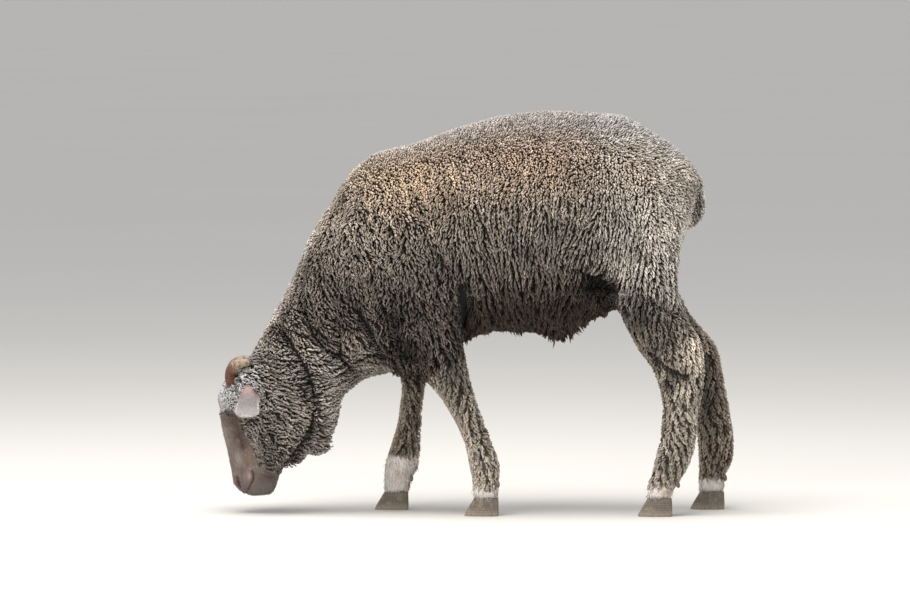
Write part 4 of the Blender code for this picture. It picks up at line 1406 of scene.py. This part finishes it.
def hair_piece(name, points, normal, direction, colour, spine, lift, length, half, pale=0.22):
    """Fine flat wisps that start on the points given, paler than the skin by their last number."""
    number = len(points)
    run_over = length * rng.uniform(0.7, 1.3, number)
    stand = lift * rng.uniform(0.5, 1.5, number)
    stray = unit(direction + rng.normal(0.0, 0.22, (number, 3)))
    built = locks(points, normal, stray, stand, run_over, np.full(number, half), HAIR_STEPS,
                  np.zeros((number, 3)), 0.2 * MM, thin=0.5, sunk=0.3 * MM)
    tone = np.clip(rng.normal(1.0, 0.14, number), 0.6, 1.5)
    colour = blend(colour, HAIR_PALE, np.broadcast_to(pale, number)) * tone[:, None] * 1.2
    make_coat(name, built, points, np.clip(colour, 0.0, 1.0), tone, spine, hair_finish)


bald = np.clip(lid_skin * 0.5 + pressed["nostril"] + pressed["mouth"] + lid_rim, 0.0, 1.0)
hair_gap = soften(np.where(face > 0.5, 1.75 * MM, 2.3 * MM), 2)


def skin_hair(name, share, spine, lift, length, half):
    """Short hair on the skin itself, wherever the share is above 0."""
    roots = scatter(hide, skin_triangles, hair_gap, share)
    hair_piece(name, roots.read(hide), unit(roots.read(hide_normals)), unit(roots.read(lie)),
               roots.read(skin_colour), spine, lift, length, half)


skin_hair("face_hair", face * (1.0 - bald), HEAD_SPINE, 0.35 * MM, 5.0 * MM, 0.28 * MM)
for leg in LEGS:
    skin_hair("hair_" + leg, pastern * part(leg), leg_spine(leg), 1.8 * MM, 10.0 * MM, 0.55 * MM)

# %% [markdown]
# ## Ears, horns, claws and eyes
# These stay pieces of their own. Each solid is coarse, so a copy with its triangles paired
# into squares and smoothly subdivided stands for it.


# %% A smoother copy of a solid
def refined(node, name, levels, finish, worn=None):
    """A subdivided copy of a node's solid, which stands for it; worn is how round its edges are."""
    bm = solid_of(node)
    limit = math.radians(50)
    bmesh.ops.join_triangles(bm, faces=bm.faces, angle_face_threshold=limit, angle_shape_threshold=limit)
    obj = placed(name, mesh_of(name, bm))
    if worn:
        bevel = obj.modifiers.new("worn edge", "BEVEL")
        bevel.width = worn
        bevel.segments = 2
        bevel.angle_limit = math.radians(35)
    smooth = obj.modifiers.new("smooth", "SUBSURF")
    smooth.levels = smooth.render_levels = levels
    obj.data = evaluated(obj)
    obj.modifiers.clear()
    obj.data.materials.clear()
    obj.data.materials.append(finish.material)
    obj.data.shade_smooth()
    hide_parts(node)
    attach(obj, "root")
    return obj


print("corners of a claw before this:", len(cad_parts["claw_fore_left_outer"].data.vertices))

# %% [markdown]
# A sheep's ear is a cupped leaf with short hair outside, a pale fringe along its edge and pink
# skin at its root. How far along the ear a point is, and how near the edge, gives its colour.
# Both are measured on the finished mesh, so the ear needs no map to paint on.

# %% Ear finish
EAR_GREY = shade_of(124, 116, 116)
EAR_PINK = shade_of(168, 130, 122)
EAR_DARK = shade_of(84, 56, 56)
EAR_RIM = shade_of(196, 192, 190)
EAR_LEVELS = 15             # the ear is measured across at so many places along it
ear_finish = Finish("ear_skin", roughness=0.7)
ear_mottle = ear_finish.noise(160.0, detail=4.0)
ear_finish.colour(ear_finish.kept("marking").times((0.78, 0.72, 0.70), ear_mottle.ramp(0.45, 0.70) * 0.6))
ear_hairs = ear_finish.noise(1300.0, squeeze=(1.0, 1.0, 0.2))
ear_finish.bump(ear_hairs + ear_mottle * 0.5, 0.5, 0.4 * MM)
print("ear nodes:", len(ear_finish.tree.nodes))


# %% Ears
def ear_frame(points):
    """Along-the-ear and across-the-ear directions, the first from the root to the tip."""
    spread = points - points.mean(0)
    _, axes = np.linalg.eigh(spread.T @ spread)
    along = axes[:, 2] * -np.sign(axes[2, 2])
    return along, axes[:, 1]


def share_across(along, across):
    """How far each point is across the ear, from 0 at one edge to 1 at the other."""
    levels = np.linspace(0.0, 1.0, EAR_LEVELS)
    nearest = np.abs(along[:, None] - levels[None]).argmin(1)
    low = np.array([across[nearest == k].min() for k in range(EAR_LEVELS)])
    high = np.array([across[nearest == k].max() for k in range(EAR_LEVELS)])
    low, high = np.interp(along, levels, low), np.interp(along, levels, high)
    return (across - low) / np.maximum(high - low, 1e-6)


for side_name in ("left", "right"):
    ear = refined("ear_" + side_name, f"ear_{side_name}_leaf", 2, ear_finish)
    points = vectors(ear.data.vertices, "co")
    along_axis, across_axis = ear_frame(points)
    along = points @ along_axis
    along = (along - along.min()) / np.ptp(along)
    place = share_across(along, points @ across_axis)
    rim = np.clip(np.maximum(ramp(np.abs(place - 0.5), 0.36, 0.50), ramp(along, 0.90, 0.99)), 0.0, 1.0)
    colour = blend(EAR_PINK, EAR_GREY, ramp(along, 0.10, 0.55))
    edge_pale, tip_pale = 0.8 * rim * ramp(along, 0.35, 0.7), 0.35 * ramp(along, 0.60, 0.95)
    colour = blend(colour, EAR_RIM, np.maximum(edge_pale, tip_pale))
    # A dark notch at the back edge near the root: pinker skin, and painted shade under the curled edge.
    backward = place if across_axis[0] > 0.0 else 1.0 - place
    notch_shade = ramp(backward, 0.55, 0.85) * np.exp(-((along - 0.28) / 0.15) ** 2)
    colour = blend(colour, EAR_DARK, 0.95 * notch_shade)
    store(ear.data, "marking", colour, "FLOAT_COLOR")
    ear_normals = vectors(ear.data.vertices, "normal")
    ear_gap = np.full(len(points), 1.4 * MM)
    roots = scatter(points, triangles_of(ear.data), ear_gap, 0.25 + 0.75 * rim)
    outward = across_axis * np.sign(roots.read(place) - 0.5)[:, None] * roots.read(rim)[:, None]
    ear_spine = (points[along.argmin()], points[along.argmax()])
    pale = roots.read((0.42 + 0.16 * ramp(along, 0.6, 0.95)) * (1.0 - notch_shade))
    hair_piece(f"ear_{side_name}_hair", roots.read(points), unit(roots.read(ear_normals)),
               unit(outward + along_axis), roots.read(colour), ear_spine, 0.3 * MM, 4.0 * MM,
               0.25 * MM, pale)

# %% [markdown]
# Each horn is a short scur: horn that curls back over the poll, red-brown and streaked where
# it leaves the wool and straw-coloured at its worn end. Growth leaves rings round it. They are
# too shallow to model, so the finish makes them, from how far round the curl a point is.

# %% Horns
horn_finish = Finish("horn", roughness=0.5)
horn_along = horn_finish.kept_number("along")
horn_streaks = horn_finish.noise(260.0, detail=4.0, squeeze=(1.0, 3.0, 0.5))
horn_flakes = horn_finish.noise(120.0, detail=5.0, roughness=0.7)
horn_rings = (horn_along * 62.0 + horn_flakes * 5.0).wave()
horn_tone = horn_finish.mix("MIX", shade_of(104, 64, 46), shade_of(160, 144, 122),
                            (horn_along + horn_flakes * 0.35).ramp(0.62, 0.95))
horn_tone = horn_tone.times(shade_of(150, 110, 86), horn_streaks.ramp(0.48, 0.62) * 0.8)
horn_tone = horn_tone.times((0.70, 0.62, 0.55), horn_rings.ramp(0.2, 1.0) * 0.35)
horn_finish.colour(horn_tone)
horn_finish.rough(0.42 + horn_flakes * 0.3)
horn_finish.bump(horn_rings * 0.5 + horn_flakes * 0.8 + horn_streaks * 0.3, 0.8, 0.9 * MM)
for side_name in ("left", "right"):
    horn = refined("horn_" + side_name, f"horn_{side_name}_scur", 3, horn_finish)
    points = vectors(horn.data.vertices, "co")
    low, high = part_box("horn_" + side_name)
    turn_x, turn_z = (low.x + high.x) / 2, (low.z + high.z) / 2 - 4 * MM
    angle = np.arctan2(points[:, 2] - turn_z, -(points[:, 0] - turn_x))
    store(horn.data, "along", np.clip((angle + 0.9) / 3.4, 0.0, 1.0))
    print("horn points:", len(points))

# %% [markdown]
# A hoof grows down from the hair line in fine rings, is dark and greasy above, and dry, pale
# and dusty where it wears on the ground. Smoothing alone would melt a claw into a bean, so its
# edges are first worn round with a narrow bevel, which keeps its planes and its sharp toe.

# %% Claws and dewclaws
hoof_finish = Finish("hoof", roughness=0.6)
hoof_height = hoof_finish.node("ShaderNodeSeparateXYZ", {}, {0: hoof_finish.place()}).out("Z")
hoof_grain = hoof_finish.noise(500.0, detail=3.0, squeeze=(1.0, 1.0, 0.25))
hoof_dirt = hoof_finish.noise(110.0, detail=5.0, roughness=0.65)
hoof_rings = (hoof_height * 1500.0 + hoof_dirt * 4.0).wave()
hoof_tone = hoof_finish.mix("MIX", shade_of(150, 140, 126), shade_of(112, 102, 92),
                            hoof_height.ramp(1 * MM, 16 * MM))
hoof_tone = hoof_tone.times(shade_of(180, 168, 154), hoof_grain.ramp(0.40, 0.70) * 0.5)
hoof_tone = hoof_tone.to(shade_of(150, 134, 114), hoof_dirt.ramp(0.50, 0.66) * 0.65)
hoof_finish.colour(hoof_tone)
hoof_finish.rough(0.5 + hoof_dirt * 0.4)
hoof_finish.bump(hoof_rings * 0.4 + hoof_grain * 0.4 + hoof_dirt * 0.7, 0.7, 0.6 * MM)
HORNY = [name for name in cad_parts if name.startswith(("claw_", "dewclaw_"))]
for name in HORNY:
    is_dewclaw = name.startswith("dew")
    toe = refined(name, name + "_horn", 2, hoof_finish, worn=None if is_dewclaw else 1.2 * MM)
    if is_dewclaw:
        points = vectors(toe.data.vertices, "co")
        centre = (points.min(0) + points.max(0)) / 2
        tucked = (points - centre) * (0.70, 0.85, 0.95) + centre - (1.5 * MM, 0.0, 0.0)
        toe.data.vertices.foreach_set("co", tucked.ravel())
print("horny pieces:", len(HORNY))

# %% [markdown]
# A sheep's eye has an amber-brown iris and a pupil that lies level, like a letter slot. The
# cornea bulges a little in front. A fine ball stands for the coarse solid. Iris and pupil need
# no picture: two distances from the middle of the eye draw them.

# %% Eye finish
eye_finish = Finish("eye", roughness=0.06)
eye_level = eye_finish.kept_number("level")
eye_up = eye_finish.kept_number("up")
eye_from_middle = (eye_level * eye_level + eye_up * eye_up) ** 0.5
eye_rays = eye_finish.noise(700.0, detail=3.0)
iris_tone = eye_finish.mix("MIX", shade_of(92, 64, 36), shade_of(52, 36, 22), eye_rays)
iris_tone = iris_tone.times(shade_of(90, 70, 50), eye_from_middle.ramp(4.5 * MM, 7.0 * MM))
slot_shape = ((eye_level * (1 / (4.6 * MM))) ** 4.0 + (eye_up * (1 / (1.9 * MM))) ** 4.0).ramp(0.75, 1.25)
iris_tone = eye_finish.mix("MIX", shade_of(10, 9, 12), iris_tone, slot_shape)
eye_finish.colour(iris_tone.to(shade_of(96, 76, 64), eye_from_middle.ramp(7.2 * MM, 7.8 * MM)))
print("eye nodes:", len(eye_finish.tree.nodes))

# %% Eyes
CORNEA_HALF = 7.6 * MM
CORNEA_BULGE = 1.0 * MM
for side_name, socket in sockets.items():
    globe = bmesh.new()
    bmesh.ops.create_uvsphere(globe, u_segments=48, v_segments=32, radius=socket.radius)
    mesh = mesh_of(f"eye_{side_name}_ball", globe)
    points = vectors(mesh.vertices, "co")
    front = points @ socket.out
    from_axis = np.linalg.norm(points - front[:, None] * socket.out, axis=1)
    bulge = np.maximum(1.0 - (from_axis / CORNEA_HALF) ** 2, 0.0) * (front > 0.0)
    points = points + socket.out * (bulge * CORNEA_BULGE)[:, None]
    level = unit(np.cross((0.0, 0.0, 1.0), socket.out)[None])[0]
    upward = np.cross(socket.out, level)
    back = np.where(front > 0.0, 0.0, 20 * MM)
    store(mesh, "level", np.abs(points @ level) + back)
    store(mesh, "up", np.abs(points @ upward))
    mesh.vertices.foreach_set("co", (points + socket.centre).ravel())
    mesh.materials.append(eye_finish.material)
    mesh.shade_smooth()
    eye = placed(f"eye_{side_name}_ball", mesh)
    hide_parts("eye_" + side_name)
    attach(eye, "root")
print("eyes made:", len(sockets))
